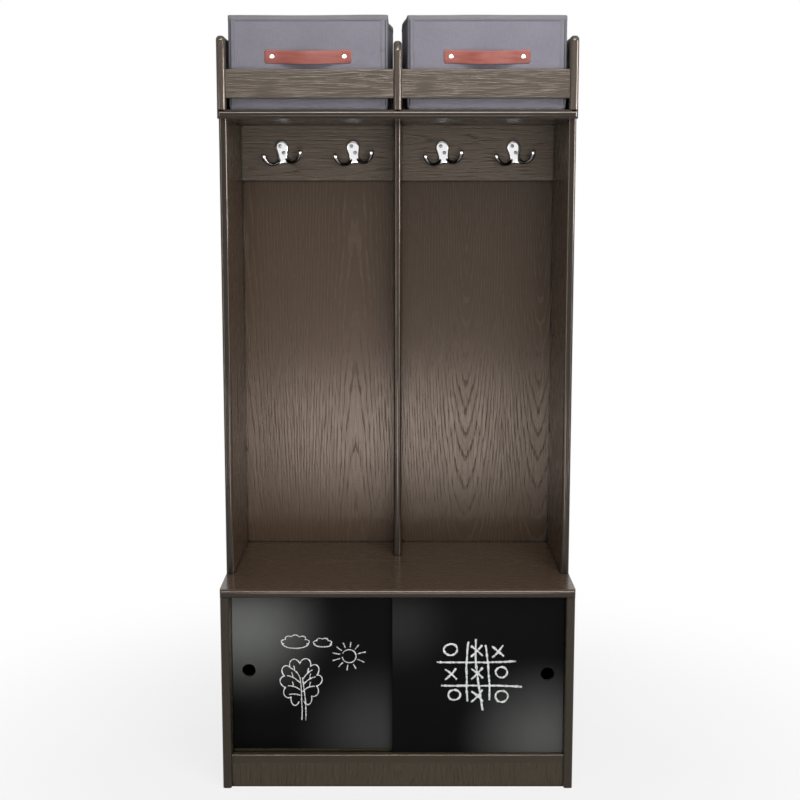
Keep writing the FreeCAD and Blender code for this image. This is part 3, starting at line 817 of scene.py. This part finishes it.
def scalloped(x, z, wide, tall, lobes, depth, start_degrees, sweep_degrees, spread=0.0):
    """A stroke of round lobes about a point, as for leaves or a cloud, that may be wider above than below."""
    def place_at(share):
        turn = math.radians(start_degrees + sweep_degrees * share)
        size = 1.0 - depth + depth * abs(math.sin(math.pi * lobes * share)) ** 0.7
        reach = wide * (1.0 + spread * math.sin(turn))
        return x + reach * size * math.cos(turn), z + tall * size * math.sin(turn)
    return stroke(140, place_at)


sways_per_metre, hand_seed = 45.0, 5
# Without a seed the sway would follow the clock, and each run would draw other strokes.
noise.seed_set(hand_seed)


def hand_drawn(strokes, tremble):
    """The strokes as a hand leaves them, never quite true."""
    drawn = []
    for count, drawn_stroke in enumerate(strokes):
        shaken = []
        for x, z in drawn_stroke:
            sway = noise.noise_vector(Vector((x * sways_per_metre, 1.7 * count, z * sways_per_metre)))
            shaken.append((x + tremble * sway.x, 0.0, z + tremble * sway.z))
        drawn.append(shaken)
    return drawn


tree_x, tree_z = -0.181, 0.190
trunk_foot = 0.117
tree_strokes = [
    scalloped(tree_x, tree_z, 0.0390, 0.0475, 10, 0.22, -78.0, 340.0, 0.16),
    straight((tree_x - 0.0015, tree_z + 0.010), (tree_x + 0.001, trunk_foot), 0.020),
    straight((tree_x + 0.0030, tree_z + 0.010), (tree_x + 0.0085, trunk_foot - 0.001), 0.025),
    straight((tree_x - 0.0015, tree_z - 0.025), (tree_x - 0.0215, tree_z - 0.023), -0.08),
]
for side in (-1, 1):
    fork_x = tree_x + 0.0010 + 0.0025 * side
    for fork, (rise, lean) in enumerate(((0.006, 0.018), (-0.003, 0.024), (-0.016, 0.022))):
        fork_z = tree_z + rise - 0.002 * side
        tip = (fork_x + side * lean, fork_z + 0.021 - (0.0055 - 0.001 * side) * fork)
        branch = straight((fork_x, fork_z), tip, 0.10 * side)
        knee_x, knee_z = branch[9]
        twig = straight((knee_x, knee_z), (knee_x + 0.0016 * side, knee_z + 0.0095), 0.06 * side, 6)
        tree_strokes += [branch, twig]

sun_x, sun_z, sun_radius = -0.0905, 0.2415, 0.0132
sun_rays, ray_start = 11, 0.0172
sun_strokes = [ring(sun_x, sun_z, sun_radius, 0.96 * sun_radius, 155.0, -328.0, 0.04)]
for ray in range(sun_rays):
    even_turn = 0.31 + 2 * math.pi * ray / sun_rays
    turn = even_turn - 0.17 * (1.0 - math.cos(even_turn - 1.2))
    ray_end = 0.0272 + 0.0050 * math.cos(turn) ** 4
    near, far = (
        (sun_x + reach * math.cos(turn), sun_z + reach * math.sin(turn)) for reach in (ray_start, ray_end)
    )
    sun_strokes.append(straight(near, far, 0.03 * math.cos(5.0 * ray), 6))


def cloud_strokes(x, z, wide, tall, lobes):
    """Round puffs over the top and one long flat stroke below."""
    top = scalloped(x, z, wide / 2, tall * 0.62, lobes, 0.22, 186.0, -192.0)
    below = ring(x, z, 0.94 * wide / 2, 0.40 * tall, 182.0, 176.0)
    return [top, below]


sky_strokes = cloud_strokes(-0.1905, 0.2665, 0.053, 0.026, 5)
sky_strokes += cloud_strokes(-0.1395, 0.2655, 0.035, 0.0175, 4)

columns = (0.098, 0.1445, 0.188)
rows = (0.259, 0.2155, 0.172)
game_rows = ("OXX", "XXO", "OXO")
# The lines of the game's grid, and the long stroke through the winning marks.
game_strokes = [
    straight((0.072, 0.2365), (0.219, 0.2375), -0.01), straight((0.081, 0.1915), (0.231, 0.189), 0.006),
    straight((0.1315, 0.2755), (0.1295, 0.161), -0.022), straight((0.1625, 0.270), (0.1705, 0.164), 0.018),
    straight((0.1445, 0.281), (0.159, 0.144), -0.03),
]
for row, marks in enumerate(game_rows):
    for column, mark in enumerate(marks):
        x = columns[column] + 0.0025 * math.sin(4.0 * row + 2.3 * column) + 0.0025 * row
        z = rows[row] + 0.0015 * math.cos(3.0 * row + 1.9 * column)
        if mark == "O":
            size = 0.0125 + 0.0015 * math.sin(2.0 * row + column)
            game_strokes.append(ring(x, z, size, 0.92 * size, 120.0 + 50.0 * column, 365.0, 0.07))
        else:
            game_strokes.append(straight((x - 0.0105, z + 0.0085), (x + 0.0110, z - 0.0105), 0.03))
            game_strokes.append(straight((x + 0.0100, z + 0.0110), (x - 0.0100, z - 0.0120), 0.04))

chalk_step, chalk_flatness = 0.0011, 0.08
chalk_lines, asked = geometry_tree("chalk_lines", [
    ("Line width", "Float"), ("Door face", "Vector"), ("Grain", "Float"), ("Chalk", "Material"),
])
line = got("GeometryNodeMeshToCurve", {"Mesh": asked["Geometry"]})
even = got("GeometryNodeResampleCurve", {"Curve": line, "Length": chalk_step}, mode="LENGTH")
spot = got("GeometryNodeInputPosition", {}, chalk_lines)
press = got("ShaderNodeTexNoise", {"Vector": spot, "Scale": 170.0, "Detail": 2.0})
pressure = ramp(press, 0.25, 0.75, 0.52, 1.36)
stick_radius = times(asked["Line width"], 0.5)
stick = got("GeometryNodeCurvePrimitiveCircle", {"Resolution": 8, "Radius": stick_radius})
laid = got("GeometryNodeCurveToMesh", {
    "Curve": even, "Profile Curve": stick, "Scale": pressure, "Fill Caps": True,
})
crumbs = put("ShaderNodeTexNoise", {"Vector": spot, "Scale": 900.0, "Detail": 1.0}).outputs["Color"]
centred = vectors("SUBTRACT", crumbs, (0.5, 0.5, 0.5))
shift = got("ShaderNodeVectorMath", {0: centred, "Scale": asked["Grain"]}, operation="SCALE")
ragged = got("GeometryNodeSetPosition", {"Geometry": laid, "Offset": shift})
pressed = got("GeometryNodeTransform", {
    "Geometry": ragged, "Translation": asked["Door face"], "Scale": (1.0, chalk_flatness, 1.0),
})
close_tree(chalk_lines, pressed, asked["Chalk"])

chalk_white, chalk_thin = (0.90, 0.90, 0.89, 1.0), (0.30, 0.30, 0.30, 1.0)
chalk, tree, shader = new_material("soft_white_chalk")
skips = ramp(cloud(object_place(tree), (620.0, 620.0, 620.0), 2.0), 0.50, 0.68)
wire(shader, {
    "Base Color": mixed(skips, chalk_white, chalk_thin), "Roughness": 0.95, "Specular IOR Level": 0.1,
})

thin_line, broad_line, line_grain = 0.0020, 0.0038, 0.28
landscape_strokes = tree_strokes + sun_strokes + sky_strokes
for name, strokes, tremble, width, face_y, body in (
    ("chalk_landscape", landscape_strokes, 0.0011, thin_line, left_face_y, "left_sliding_door"),
    ("chalk_game", game_strokes, 0.0014, broad_line, right_face_y, "right_sliding_door"),
):
    drawing = grown(name, hand_drawn(strokes, tremble), chalk_lines, {
        "Line width": width, "Door face": (0.0, face_y, 0.0), "Grain": line_grain * width, "Chalk": chalk,
    })
    belongs(drawing, body)


# Storage bins. Sewn boxes of lavender-grey felted canvas over thin board, open at the top: the wall is
# one band of cloth, its corners are bound with tape over a cord, and the rim is folded into a hem. Use
# has spread their inner rear corners.
woven, given, result = new_group(
    "woven_cloth", [("Place", "Vector", None), ("Threads", "Float", 900.0)], ["Height", "Melange"],
)
place = given["Place"]
counted = got("ShaderNodeVectorMath", {0: place, "Scale": given["Threads"]}, operation="SCALE")
thread_axes = axes(counted)
waves = [sums("SINE", times(thread_axes[axis], math.pi)) for axis in "XY"]
warp_tint = cloud(place, (900.0, 60.0, 1.0), 2.0)
weft_tint = cloud(place, (60.0, 900.0, 1.0), 2.0)
blotches = cloud(place, (14.0, 14.0, 1.0), 3.0)
tints = sums("ADD", sums("ADD", warp_tint, weft_tint), blotches)
wire(result, {"Height": times(*waves), "Melange": sums("DIVIDE", tints, 3.0)})

# The dark of the painted shade along the hem and beside the cords.
crease_shade = (0.06, 0.058, 0.07, 1.0)
tape_step = 0.0016
cord_middle, cord_half = 6.0 * tape_step, 2.0 * tape_step


def canvas(name, light, dark, threads=900.0, crease=None, corded=False):
    """Matt woven cloth with mixed yarns, by the piece's own UV map in metres; crease is the height of a
    painted shadow line under the hem, and corded cloth gets lines of painted shade on both sides of the cord
    in it."""
    material, tree, shader = new_material(name)
    place = put("ShaderNodeTexCoord", {}, tree).outputs["UV"]
    cloth = put("ShaderNodeGroup", {"Place": place, "Threads": threads}, node_tree=woven)
    height, melange = cloth.outputs
    colour = mixed(ramp(melange, 0.32, 0.68), dark, light)
    if crease is not None:
        # Painted shadow: a dark line just under the hem's foot.
        height_up = axes(object_place(tree))["Z"]
        hem_shadow = ramp(height_up, crease - 0.0026, crease - 0.0012, 0.0, 0.6)
        colour = mixed(hem_shadow, colour, crease_shade)
    # Painted shade: two thin dark lines on either side of the cord's middle.
    if corded:
        from_cord = sums("ABSOLUTE", sums("SUBTRACT", axes(place)["X"], cord_middle))
        from_fold = sums("ABSOLUTE", sums("SUBTRACT", from_cord, cord_half))
        colour = mixed(ramp(from_fold, 0.0006, 0.0016, 0.92, 0.0), colour, crease_shade)
    wire(shader, {
        "Base Color": colour, "Roughness": scaled(melange, 0.15, 0.80),
        "Normal": bumped(height, 0.00018), "Specular IOR Level": 0.15,
        "Sheen Weight": 0.12, "Sheen Roughness": 0.5,
    })
    return material


bin_wall, bin_corner, bin_least_corner = 0.004, 0.007, 0.0015
bin_hem_height, bin_hem_proud = 0.010, 0.001
bin_stretch = 0.0022
hem_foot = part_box("left_bin")[1].z + bin_stretch - bin_hem_height
# The bin canvas gets a painted shadow line under the hem's foot.
bin_cloth = canvas("bin_canvas", (0.246, 0.234, 0.276, 1.0), (0.203, 0.193, 0.231, 1.0), crease=hem_foot)
hem_cloth = canvas("bin_hem_canvas", (0.240, 0.235, 0.252, 1.0), (0.198, 0.194, 0.210, 1.0))
tape_light, tape_dark = (0.238, 0.230, 0.262, 1.0), (0.196, 0.190, 0.219, 1.0)
tape_cloth = canvas("bin_corner_tape", tape_light, tape_dark, 1300.0, corded=True)

side_steps, end_steps, corner_steps = 30, 24, 6
corner_signs = ((1, 1), (-1, 1), (-1, -1), (1, -1))
outer_belly, rear_belly = 0.0018, 0.0042
front_dent, front_crease = 0.0005, 0.00055
rim_sway, rim_sag = 0.0009, 0.0006


class BinShape:
    """One bin's box, and the way that its cloth has settled."""

    def __init__(self, node, inner_sign, flare, flare_start, flare_end):
        low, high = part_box(node)
        self.low = low + Vector((bin_hem_proud, bin_hem_proud, 0))
        self.high = high - Vector((bin_hem_proud, bin_hem_proud, -bin_stretch))
        self.middle = (self.low + self.high) / 2
        self.half = (self.high - self.low) / 2
        self.inner_sign = inner_sign
        self.flare, self.flare_start, self.flare_end = flare, flare_start, flare_end

    def place(self, flat, z):
        """The cloth's place after use: a spread inner rear corner, soft bellies and a slightly uneven rim."""
        x, y = self.middle.x + flat[0], self.middle.y + flat[1]
        side = self.inner_sign * (x - self.middle.x) / self.half.x
        back = (y - self.low.y) / (self.high.y - self.low.y)
        height = (z - self.low.z) / (self.high.z - self.low.z)
        inner = smooth(0.55, 1.0, side) * smooth(self.flare_start, self.flare_end, back)
        x += self.inner_sign * self.flare * inner * smooth(0.0, 0.55, height)
        belly = math.sin(math.pi * unit(height)) * math.sin(math.pi * unit(back))
        x -= self.inner_sign * outer_belly * smooth(0.5, 1.0, -side) * belly
        across = math.cos(0.5 * math.pi * min(1.0, abs(side)))
        y += rear_belly * smooth(0.5, 1.0, back) * across * math.sin(math.pi * unit(height) * 0.8)
        front = 1.0 - smooth(0.0, 0.06, back)
        dent = noise.noise(Vector((x * 16.0, self.inner_sign * 3.0, z * 16.0)))
        crease = math.sin(z * 420.0 + 2.5 * math.sin(x * 21.0)) * (1.0 - smooth(0.10, 0.26, height))
        y += front * (front_dent * dent + front_crease * crease * smooth(0.02, 0.08, height))
        sway = noise.noise(Vector((x * 9.0, y * 9.0, 5.0 + self.inner_sign)))
        return Vector((x, y, z + (rim_sway * sway - rim_sag) * smooth(0.5, 1.0, height)))

    def ring(self, inset):
        """Points of a rounded rectangle, from its right rear corner round by the back."""
        corner = max(bin_corner - inset, bin_least_corner)
        flat_x, flat_y = self.half.x - inset - corner, self.half.y - inset - corner
        curves = [
            arc(x_sign * flat_x, y_sign * flat_y, corner, 90.0 * quarter, corner_steps)
            for quarter, (x_sign, y_sign) in enumerate(corner_signs)
        ]
        points = []
        for quarter, curve in enumerate(curves):
            start, end = curve[-1], curves[(quarter + 1) % 4][0]
            count = end_steps if quarter % 2 else side_steps
            points += curve
            points += [
                tuple(a + (b - a) * step / count for a, b in zip(start, end)) for step in range(1, count)
            ]
        return points


def run_lengths(points):
    """The distance along a closed line at each of its points, and back at the first."""
    lengths = [0.0]
    for here, ahead in zip(points, points[1:] + points[:1]):
        lengths.append(lengths[-1] + math.dist(here, ahead))
    return lengths


def cloth_mesh(name, shape, profile, capped, sharp_degrees):
    """A band of the bin's cloth along a profile of insets and heights, with a UV map in metres."""
    rings = [[shape.place(flat, z) for flat in shape.ring(inset)] for inset, z in profile]
    around, up = run_lengths(rings[len(rings) // 2]), run_lengths(profile)
    made = bmesh.new()
    ends = skin(made, rings, lambda row, point: (around[point], up[row]), capped)
    for end in ends:
        for loop in end.loops:
            loop[made.loops.layers.uv["UVMap"]].uv = loop.vert.co.xy
    return mesh_of(name, made, sharp_degrees)


wall_edge, wall_rows, inside_rows = 0.006, 26, 14


def bin_wall_mesh(shape):
    """The shell: across the bottom, round its edge, up the outside, over the rim and down the inside."""
    foot, top = shape.low.z, shape.high.z - 0.0022
    profile = [(0.060, foot), (0.020, foot), (0.010, foot)]
    profile += arc(wall_edge, foot + wall_edge, wall_edge, 180.0, 5)[::-1]
    start, floor_z = foot + wall_edge, foot + bin_wall
    profile += [(0.0, start + (top - start) * row / wall_rows) for row in range(1, wall_rows + 1)]
    profile += [(bin_wall * 0.5, top + 0.0008), (bin_wall, top)]
    drop = floor_z + 0.003 - top
    profile += [(bin_wall, top + drop * row / inside_rows) for row in range(1, inside_rows + 1)]
    profile += [(bin_wall + 0.001, floor_z + 0.001), (bin_wall + 0.003, floor_z)]
    profile += [(0.020, floor_z), (0.060, floor_z)]
    return cloth_mesh("bin_wall", shape, profile, True, 50.0)


def bin_hem_mesh(shape):
    """The folded rim: a flat tube of cloth that covers the wall's edge on both sides."""
    top = shape.high.z
    base = top - bin_hem_height
    proud, back = -bin_hem_proud, bin_wall + bin_hem_proud
    profile = [
        (0.0006, base + 0.0003), (proud * 0.5, base), (proud * 0.95, base + 0.0008), (proud, base + 0.0025),
        (proud * 0.95, base + 0.0055), (proud, top - 0.0022), (proud * 0.8, top - 0.0009),
        (proud * 0.2, top - 0.0001), (0.0015, top), (bin_wall - 0.0015, top), (back * 0.85, top - 0.0004),
        (back, top - 0.0018), (back, base + 0.0025), (back * 0.95, base + 0.0008),
        (bin_wall + 0.0003, base), (bin_wall - 0.0006, base + 0.0004),
    ]
    return cloth_mesh("bin_hem", shape, profile, False, 60.0)


tape_reach, tape_rows = 0.0055, 30
tape_proud, tape_sunk, tape_tuck = 0.0007, 0.0008, 0.0004
tape_foot, tape_under_hem, tape_steps = 0.008, 0.0015, 8


def tape_meshes(shape):
    """Four strips folded round the upright corners, standing a little proud with rolled edges."""
    made = bmesh.new()
    foot, top = shape.low.z + tape_foot, shape.high.z - bin_hem_height + tape_under_hem
    flat_x, flat_y = shape.half.x - bin_corner, shape.half.y - bin_corner
    for quarter, (x_sign, y_sign) in enumerate(corner_signs):
        start, end = math.radians(90.0 * quarter), math.radians(90.0 * quarter + 90.0)
        outline = []
        for proud, reach in ((tape_proud, tape_reach), (-tape_sunk, tape_reach + tape_tuck)):
            curve = arc(x_sign * flat_x, y_sign * flat_y, bin_corner + proud, 90.0 * quarter, tape_steps)
            (x, y), (end_x, end_y) = curve[0], curve[-1]
            near = 0.5 * tape_reach
            line = [(x + math.sin(start) * run, y - math.cos(start) * run) for run in (reach, near)] + curve
            line += [(end_x - math.sin(end) * run, end_y + math.cos(end) * run) for run in (near, reach)]
            outline += line if proud > 0 else line[::-1]
        rise = (top - foot) / tape_rows
        rings = [[shape.place(flat, foot + rise * row) for flat in outline] for row in range(tape_rows + 1)]
        skin(made, rings, lambda row, point: (tape_step * point, rise * row))
    return mesh_of("bin_tape", made, 45.0)


def joined_cloth(name, parts):
    """One piece from several cloth meshes, each with its own material."""
    pieces = []
    for mesh, material in parts:
        mesh.materials.append(material)
        pieces.append(linked(name, mesh))
    with bpy.context.temp_override(active_object=pieces[0], selected_editable_objects=pieces):
        bpy.ops.object.join()
    return pieces[0]


# Beside each seam, stitches of one length at an even pitch, laid along the seam.
seam_stitches, asked = geometry_tree("seam_stitches", [
    ("Pitch", "Float"), ("Stitch size", "Vector"), ("Thread", "Material"),
])
seam = got("GeometryNodeMeshToCurve", {"Mesh": asked["Geometry"]})
pitched = {"Curve": seam, "Length": asked["Pitch"]}
needle_holes = got("GeometryNodeResampleCurve", pitched, mode="LENGTH")
seam_way = got("GeometryNodeInputTangent", {}, seam_stitches)
lie = got("FunctionNodeAlignRotationToVector", {"Vector": seam_way}, axis="Z")
bead_shape = {"Segments": 6, "Rings": 5, "Radius": 1.0}
bead = put("GeometryNodeMeshUVSphere", bead_shape, seam_stitches).outputs["Mesh"]
sewn = got("GeometryNodeInstanceOnPoints", {
    "Points": needle_holes, "Instance": bead, "Rotation": lie, "Scale": asked["Stitch size"],
})
close_tree(seam_stitches, sewn, asked["Thread"])

thread_dark, thread_light = (0.065, 0.060, 0.075, 1.0), (0.120, 0.112, 0.135, 1.0)
thread, tree, shader = new_material("bin_thread")
twist = cloud(object_place(tree), (900.0, 900.0, 900.0), 2.0)
wire(shader, {"Base Color": mixed(twist, thread_dark, thread_light), "Roughness": 0.75})
stitch_pitch = 0.0044
stitch_size = (0.00038, 0.00038, 0.0016)
hem_seam_up, tape_seam_in, seam_foot, seam_gap, seam_steps = 0.0022, 0.0014, 0.010, 0.0015, 24


def seam_lines(shape):
    """The lines that the needle follows: round the hem's lower part and down both edges of each tape."""
    hem_line = shape.high.z - bin_hem_height + hem_seam_up
    lines = [[shape.place(flat, hem_line) for flat in shape.ring(-bin_hem_proud - 0.0001)]]
    lines[0].append(lines[0][0])
    reach = bin_corner + tape_reach - tape_seam_in
    half_x, half_y = shape.half.x, shape.half.y
    foot, top = shape.low.z + seam_foot, shape.high.z - bin_hem_height - seam_gap
    heights = [foot + (top - foot) * step / seam_steps for step in range(seam_steps + 1)]
    for x_sign in (-1, 1):
        for y_sign in (-1, 1):
            for x, y in ((half_x - reach, half_y + tape_proud), (half_x + tape_proud, half_y - reach)):
                lines.append([shape.place((x_sign * x, y_sign * y), z) for z in heights])
    return lines


bin_shapes = {
    "left": BinShape("left_bin", 1, 0.0086, 0.45, 1.0), "right": BinShape("right_bin", -1, 0.0088, 0.0, 0.75),
}
for hand, shape in bin_shapes.items():
    body = hand + "_storage_bin"
    cloth = joined_cloth(hand + "_bin_cloth", [
        (bin_wall_mesh(shape), bin_cloth), (bin_hem_mesh(shape), hem_cloth), (tape_meshes(shape), tape_cloth),
    ])
    belongs(cloth, body, hand + "_bin")
    stitches = grown(hand + "_bin_stitches", seam_lines(shape), seam_stitches, {
        "Pitch": stitch_pitch, "Stitch size": stitch_size, "Thread": thread,
    })
    belongs(stitches, body)


# Bin base boards. Grey recycled board, cut a little smaller than the bin and laid loose on its bottom cloth.
board_dark, board_light = (0.17, 0.165, 0.16, 1.0), (0.30, 0.29, 0.28, 1.0)
grey_board, tree, shader = new_material("grey_board")
fibres = cloud(object_place(tree), (420.0, 60.0, 300.0), 3.0)
wire(shader, {
    "Base Color": mixed(fibres, board_dark, board_light),
    "Roughness": scaled(fibres, 0.1, 0.82), "Normal": bumped(fibres, 0.0002),
})
for hand in bin_shapes:
    dress(nodes[hand + "_bin_base_board"], grey_board)


# Pull straps. Rust-red vegetable-tanned leather, 2.5 mm thick with burnished edges, riveted flat at
# both ends and left slack between, so that each stands off the bin in a low bow and hangs a little in
# the middle.
strap_width, strap_thickness, strap_edge = 0.024, 0.0025, 0.0009
strap_half, strap_end_round = 0.0785, 0.003
strap_bow_half, strap_bow, strap_sag = 0.0585, 0.0138, 0.0030
strap_press = 0.0002
strap_rows, strap_slope_step = 64, 0.0005
strap_end_thin, strap_thin_share = 0.0004, 0.7


def strap_line(run):
    """How far the strap stands off the bin and sags, at a distance along it from its middle."""
    lift, sag = (
        math.cos(0.5 * math.pi * min(1.0, abs(run) / reach)) ** 2 for reach in (strap_bow_half, strap_half)
    )
    return strap_bow * lift, strap_sag * sag


def strap_mesh(centre, bin_face_y):
    """The strap's rounded section carried along its bow, with a UV map of metres along and across it."""
    half_width, half_thick = strap_width / 2, strap_thickness / 2
    section = []
    for quarter, (sign_w, sign_t) in enumerate(corner_signs):
        middle_w, middle_t = sign_w * (half_width - strap_edge), sign_t * (half_thick - strap_edge)
        section += arc(middle_w, middle_t, strap_edge, 90.0 * quarter, 4)
    rings = []
    runs = []
    for row in range(strap_rows + 1):
        crowded = -math.cos(math.pi * row / strap_rows)
        run = strap_half * (0.75 * (2 * row / strap_rows - 1) + 0.25 * crowded)
        from_end = strap_half - abs(run)
        narrow = 0.0
        if from_end < strap_end_round:
            into_round = strap_end_round - from_end
            narrow = strap_end_round - math.sqrt(max(0.0, strap_end_round ** 2 - into_round ** 2))
        off, drop = strap_line(run)
        ahead, behind = strap_line(run + strap_slope_step)[0], strap_line(run - strap_slope_step)[0]
        slope = math.atan2(ahead - behind, 2 * strap_slope_step)
        thin = 1.0 if from_end > strap_end_thin else strap_thin_share
        middle = Vector((centre.x + run, bin_face_y - half_thick - off + strap_press, centre.z - drop))
        taper = (half_width - narrow) / half_width
        rings.append([
            middle + Vector((-thick * thin * math.sin(slope), -thick * thin * math.cos(slope), wide * taper))
            for wide, thick in section
        ])
        runs.append(run)
    return skinned("strap", rings, 50.0, lambda row, point: (runs[row], section[point % len(section)][0]))


rust_dark, rust_light = (0.236, 0.058, 0.043, 1.0), (0.328, 0.088, 0.070, 1.0)
leather_tan, leather_painted_highlight = (0.262, 0.086, 0.041, 1.0), (0.43, 0.155, 0.130, 1.0)
leather_painted_shade = (0.18, 0.052, 0.034, 1.0)


def tanned_leather(name, shift):
    """Leather with streaks along it, fine pebbling, a painted highlight along its upper edge and painted
    shade along its lower edge.
    """
    material, tree, shader = new_material(name)
    uv = put("ShaderNodeTexCoord", {}, tree).outputs["UV"]
    place = vectors("ADD", uv, (shift, 0.0, 0.0))
    wide = axes(uv)["Y"]
    streaks = cloud(place, (26.0, 170.0, 1.0), 3.0)
    patches = cloud(place, (34.0, 22.0, 1.0), 2.0)
    colour = mixed(ramp(streaks, 0.3, 0.7), rust_dark, rust_light)
    colour = mixed(ramp(patches, 0.48, 0.75, 0.0, 0.55), colour, leather_tan)
    # Painted highlight along the upper edge, then painted shade along the lower edge.
    colour = mixed(ramp(wide, 0.0085, 0.0118, 0.0, 0.5), colour, leather_painted_highlight)
    colour = mixed(ramp(wide, -0.0118, -0.0095, 0.55, 0.0), colour, leather_painted_shade)
    pebble = put("ShaderNodeTexVoronoi", {"Vector": place, "Scale": 1500.0}).outputs["Distance"]
    wire(shader, {
        "Base Color": colour, "Roughness": scaled(streaks, 0.2, 0.42),
        "Normal": bumped(pebble, 0.00012, 0.6), "Specular IOR Level": 0.2,
    })
    return material


for hand, shape in bin_shapes.items():
    low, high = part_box(hand + "_bin_strap")
    strap = linked(hand + "_pull_strap", strap_mesh((low + high) / 2, shape.low.y))
    dress(strap, tanned_leather(hand + "_strap_leather", 0.35 * shape.inner_sign))
    belongs(strap, hand + "_storage_bin", hand + "_bin_strap")


# Strap rivets. Nickel-plated double-cap rivets: a low turned dome outside, a shank through strap and
# wall, and a flat cap inside the bin.
rivet_cap, rivet_rise, rivet_edge, rivet_shank = 0.004, 0.0016, 0.0003, 0.0013
rivet_spacing, rivet_drop, rivet_sides = 0.131, 0.0002, 32


def rivet_mesh():
    """A turned rivet, its outer cap facing the front and its shank running back through strap and wall."""
    deep = strap_thickness + bin_wall
    profile = [
        (rivet_cap * 0.85, deep + 0.0011), (rivet_cap, deep + 0.0006), (rivet_cap, deep), (rivet_shank, deep),
        (rivet_shank, 0.0), (rivet_cap, 0.0), (rivet_cap, -rivet_edge),
    ]
    for step in range(1, 8):
        turn = 0.5 * math.pi * step / 8
        dome = rivet_edge + (rivet_rise - rivet_edge) * math.sin(turn)
        profile.append((rivet_cap * math.cos(turn), -dome))
    rings = [[Vector((radius * x, y, radius * z)) for x, z in circle(rivet_sides)] for radius, y in profile]
    return skinned("rivet", rings, 45.0)


nickel = polished_metal("rivet_nickel_plate", (0.86, 0.84, 0.80, 1.0), 0.10, 0.12)
for hand, shape in bin_shapes.items():
    low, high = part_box(hand + "_bin_strap")
    middle = (low + high) / 2
    rivet_y = shape.low.y - strap_thickness + strap_press
    rivet_points = [(middle.x + step * rivet_spacing / 2, rivet_y, middle.z - rivet_drop) for step in (-1, 1)]
    rivets = fitted(hand + "_strap_rivets", rivet_mesh(), rivet_points, (0.0, 0.0, 0.0), nickel)
    belongs(rivets, hand + "_storage_bin", hand + "_bin_rivets")


# Studio. A pale floor that keeps the unit's shadow, a key lamp high to the right with soft fills, and
# lamps that show only in gloss: a low one whose mirror image lies across the lacquered back panel, and
# others that draw the bright lines along the rounded edges.
def area_lamp(name, place, target, size, energy, gloss=True, diffuse=True):
    lamp = bpy.data.lights.new(name, "AREA")
    lamp.shape = "RECTANGLE"
    lamp.size, lamp.size_y = size
    lamp.energy = energy
    made = linked(name, lamp)
    made.location = place
    made.rotation_euler = (Vector(target) - Vector(place)).to_track_quat("-Z", "Y").to_euler()
    made.visible_camera, made.visible_glossy, made.visible_diffuse = False, gloss, diffuse


area_lamp("key_lamp", (0.36, -1.25, 2.3), (0.0, 0.0, 1.05), (1.3, 0.9), 20.0)
area_lamp("fill_lamp", (0.42, -1.35, 1.2), (0.0, 0.1, 1.1), (0.8, 0.8), 9.0, gloss=False)
area_lamp("door_lamp", (0.1, -1.7, 0.5), (0.0, -0.15, 0.22), (0.7, 0.4), 4.0, gloss=False)
area_lamp("panel_lamp", (0.0, -1.9, 0.27), (0.0, 0.17, 0.6), (0.9, 0.34), 8.4, diffuse=False)
for side in (-1, 1):
    area_lamp("rear_lamp", (1.9 * side, 1.5, 1.1), (0.0, 0.1, 0.7), (1.2, 1.2), 14.0, gloss=False)
    area_lamp("edge_lamp", (1.9 * side, -1.75, 0.8), (0.0, -0.1, 0.8), (0.6, 1.4), 24.0, diffuse=False)
area_lamp("gallery_lamp", (2.0, -0.95, 1.35), (0.0, -0.1, 1.3), (0.6, 0.8), 56.0, diffuse=False)
area_lamp("line_lamp", (0.0, -2.2, 2.3), (0.0, -0.19, 0.8), (1.8, 0.4), 68.0, diffuse=False)


def seen_directly(tree):
    """One for what the camera sees itself, in gloss or through glass."""
    rays = put("ShaderNodeLightPath", {}, tree).outputs
    mirrored = sums("MAXIMUM", rays["Is Glossy Ray"], rays["Is Transmission Ray"])
    return sums("MAXIMUM", rays["Is Camera Ray"], mirrored)


floor_half = 12.0
studio_white = (1.0, 1.0, 1.0, 1.0)
floor_mesh = bpy.data.meshes.new("studio_floor")
floor_mesh.from_pydata([(x * floor_half, y * floor_half, 0) for x, y in corner_signs], [], [(0, 1, 2, 3)])
studio_floor = linked("studio_floor", floor_mesh)
studio_floor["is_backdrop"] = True
floor_paint, tree, shader = new_material("floor_paint")
wire(shader, {"Base Color": (0.60, 0.60, 0.60, 1.0), "Roughness": 0.9, "Specular IOR Level": 0.0})
whiteness = ramp(length(object_place(tree)), 0.35, 1.3, 0.80, 1.0)
white = got("ShaderNodeEmission", {"Color": studio_white, "Strength": 1.0}, tree)
share = times(seen_directly(tree), whiteness)
blend = got("ShaderNodeMixShader", {0: share, 1: shader.outputs[0], 2: white})
wire(tree.nodes["Material Output"], {"Surface": blend})
dress(studio_floor, floor_paint)

world = bpy.data.worlds.new("studio_world")
bpy.context.scene.world = world
world.use_nodes = True
tree = world.node_tree
ambient = 0.20
strength = scaled(seen_directly(tree), 1.0 - ambient, ambient)
wire(tree.nodes["Background"], {"Color": studio_white, "Strength": strength})

bpy.context.scene.view_settings.view_transform = "Standard"
camera_data = bpy.data.cameras.new("camera")
camera_data.sensor_width = 36.0
camera_data.lens = 65.3
camera_data.shift_x = 0.003
camera_tip_degrees = 8.31
camera = linked("camera", camera_data)
camera.location = (0.0, -2.7561, 1.1058)
camera.rotation_euler = (math.radians(90.0 - camera_tip_degrees), 0.0, 0.0)
bpy.context.scene.camera = camera

low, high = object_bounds()
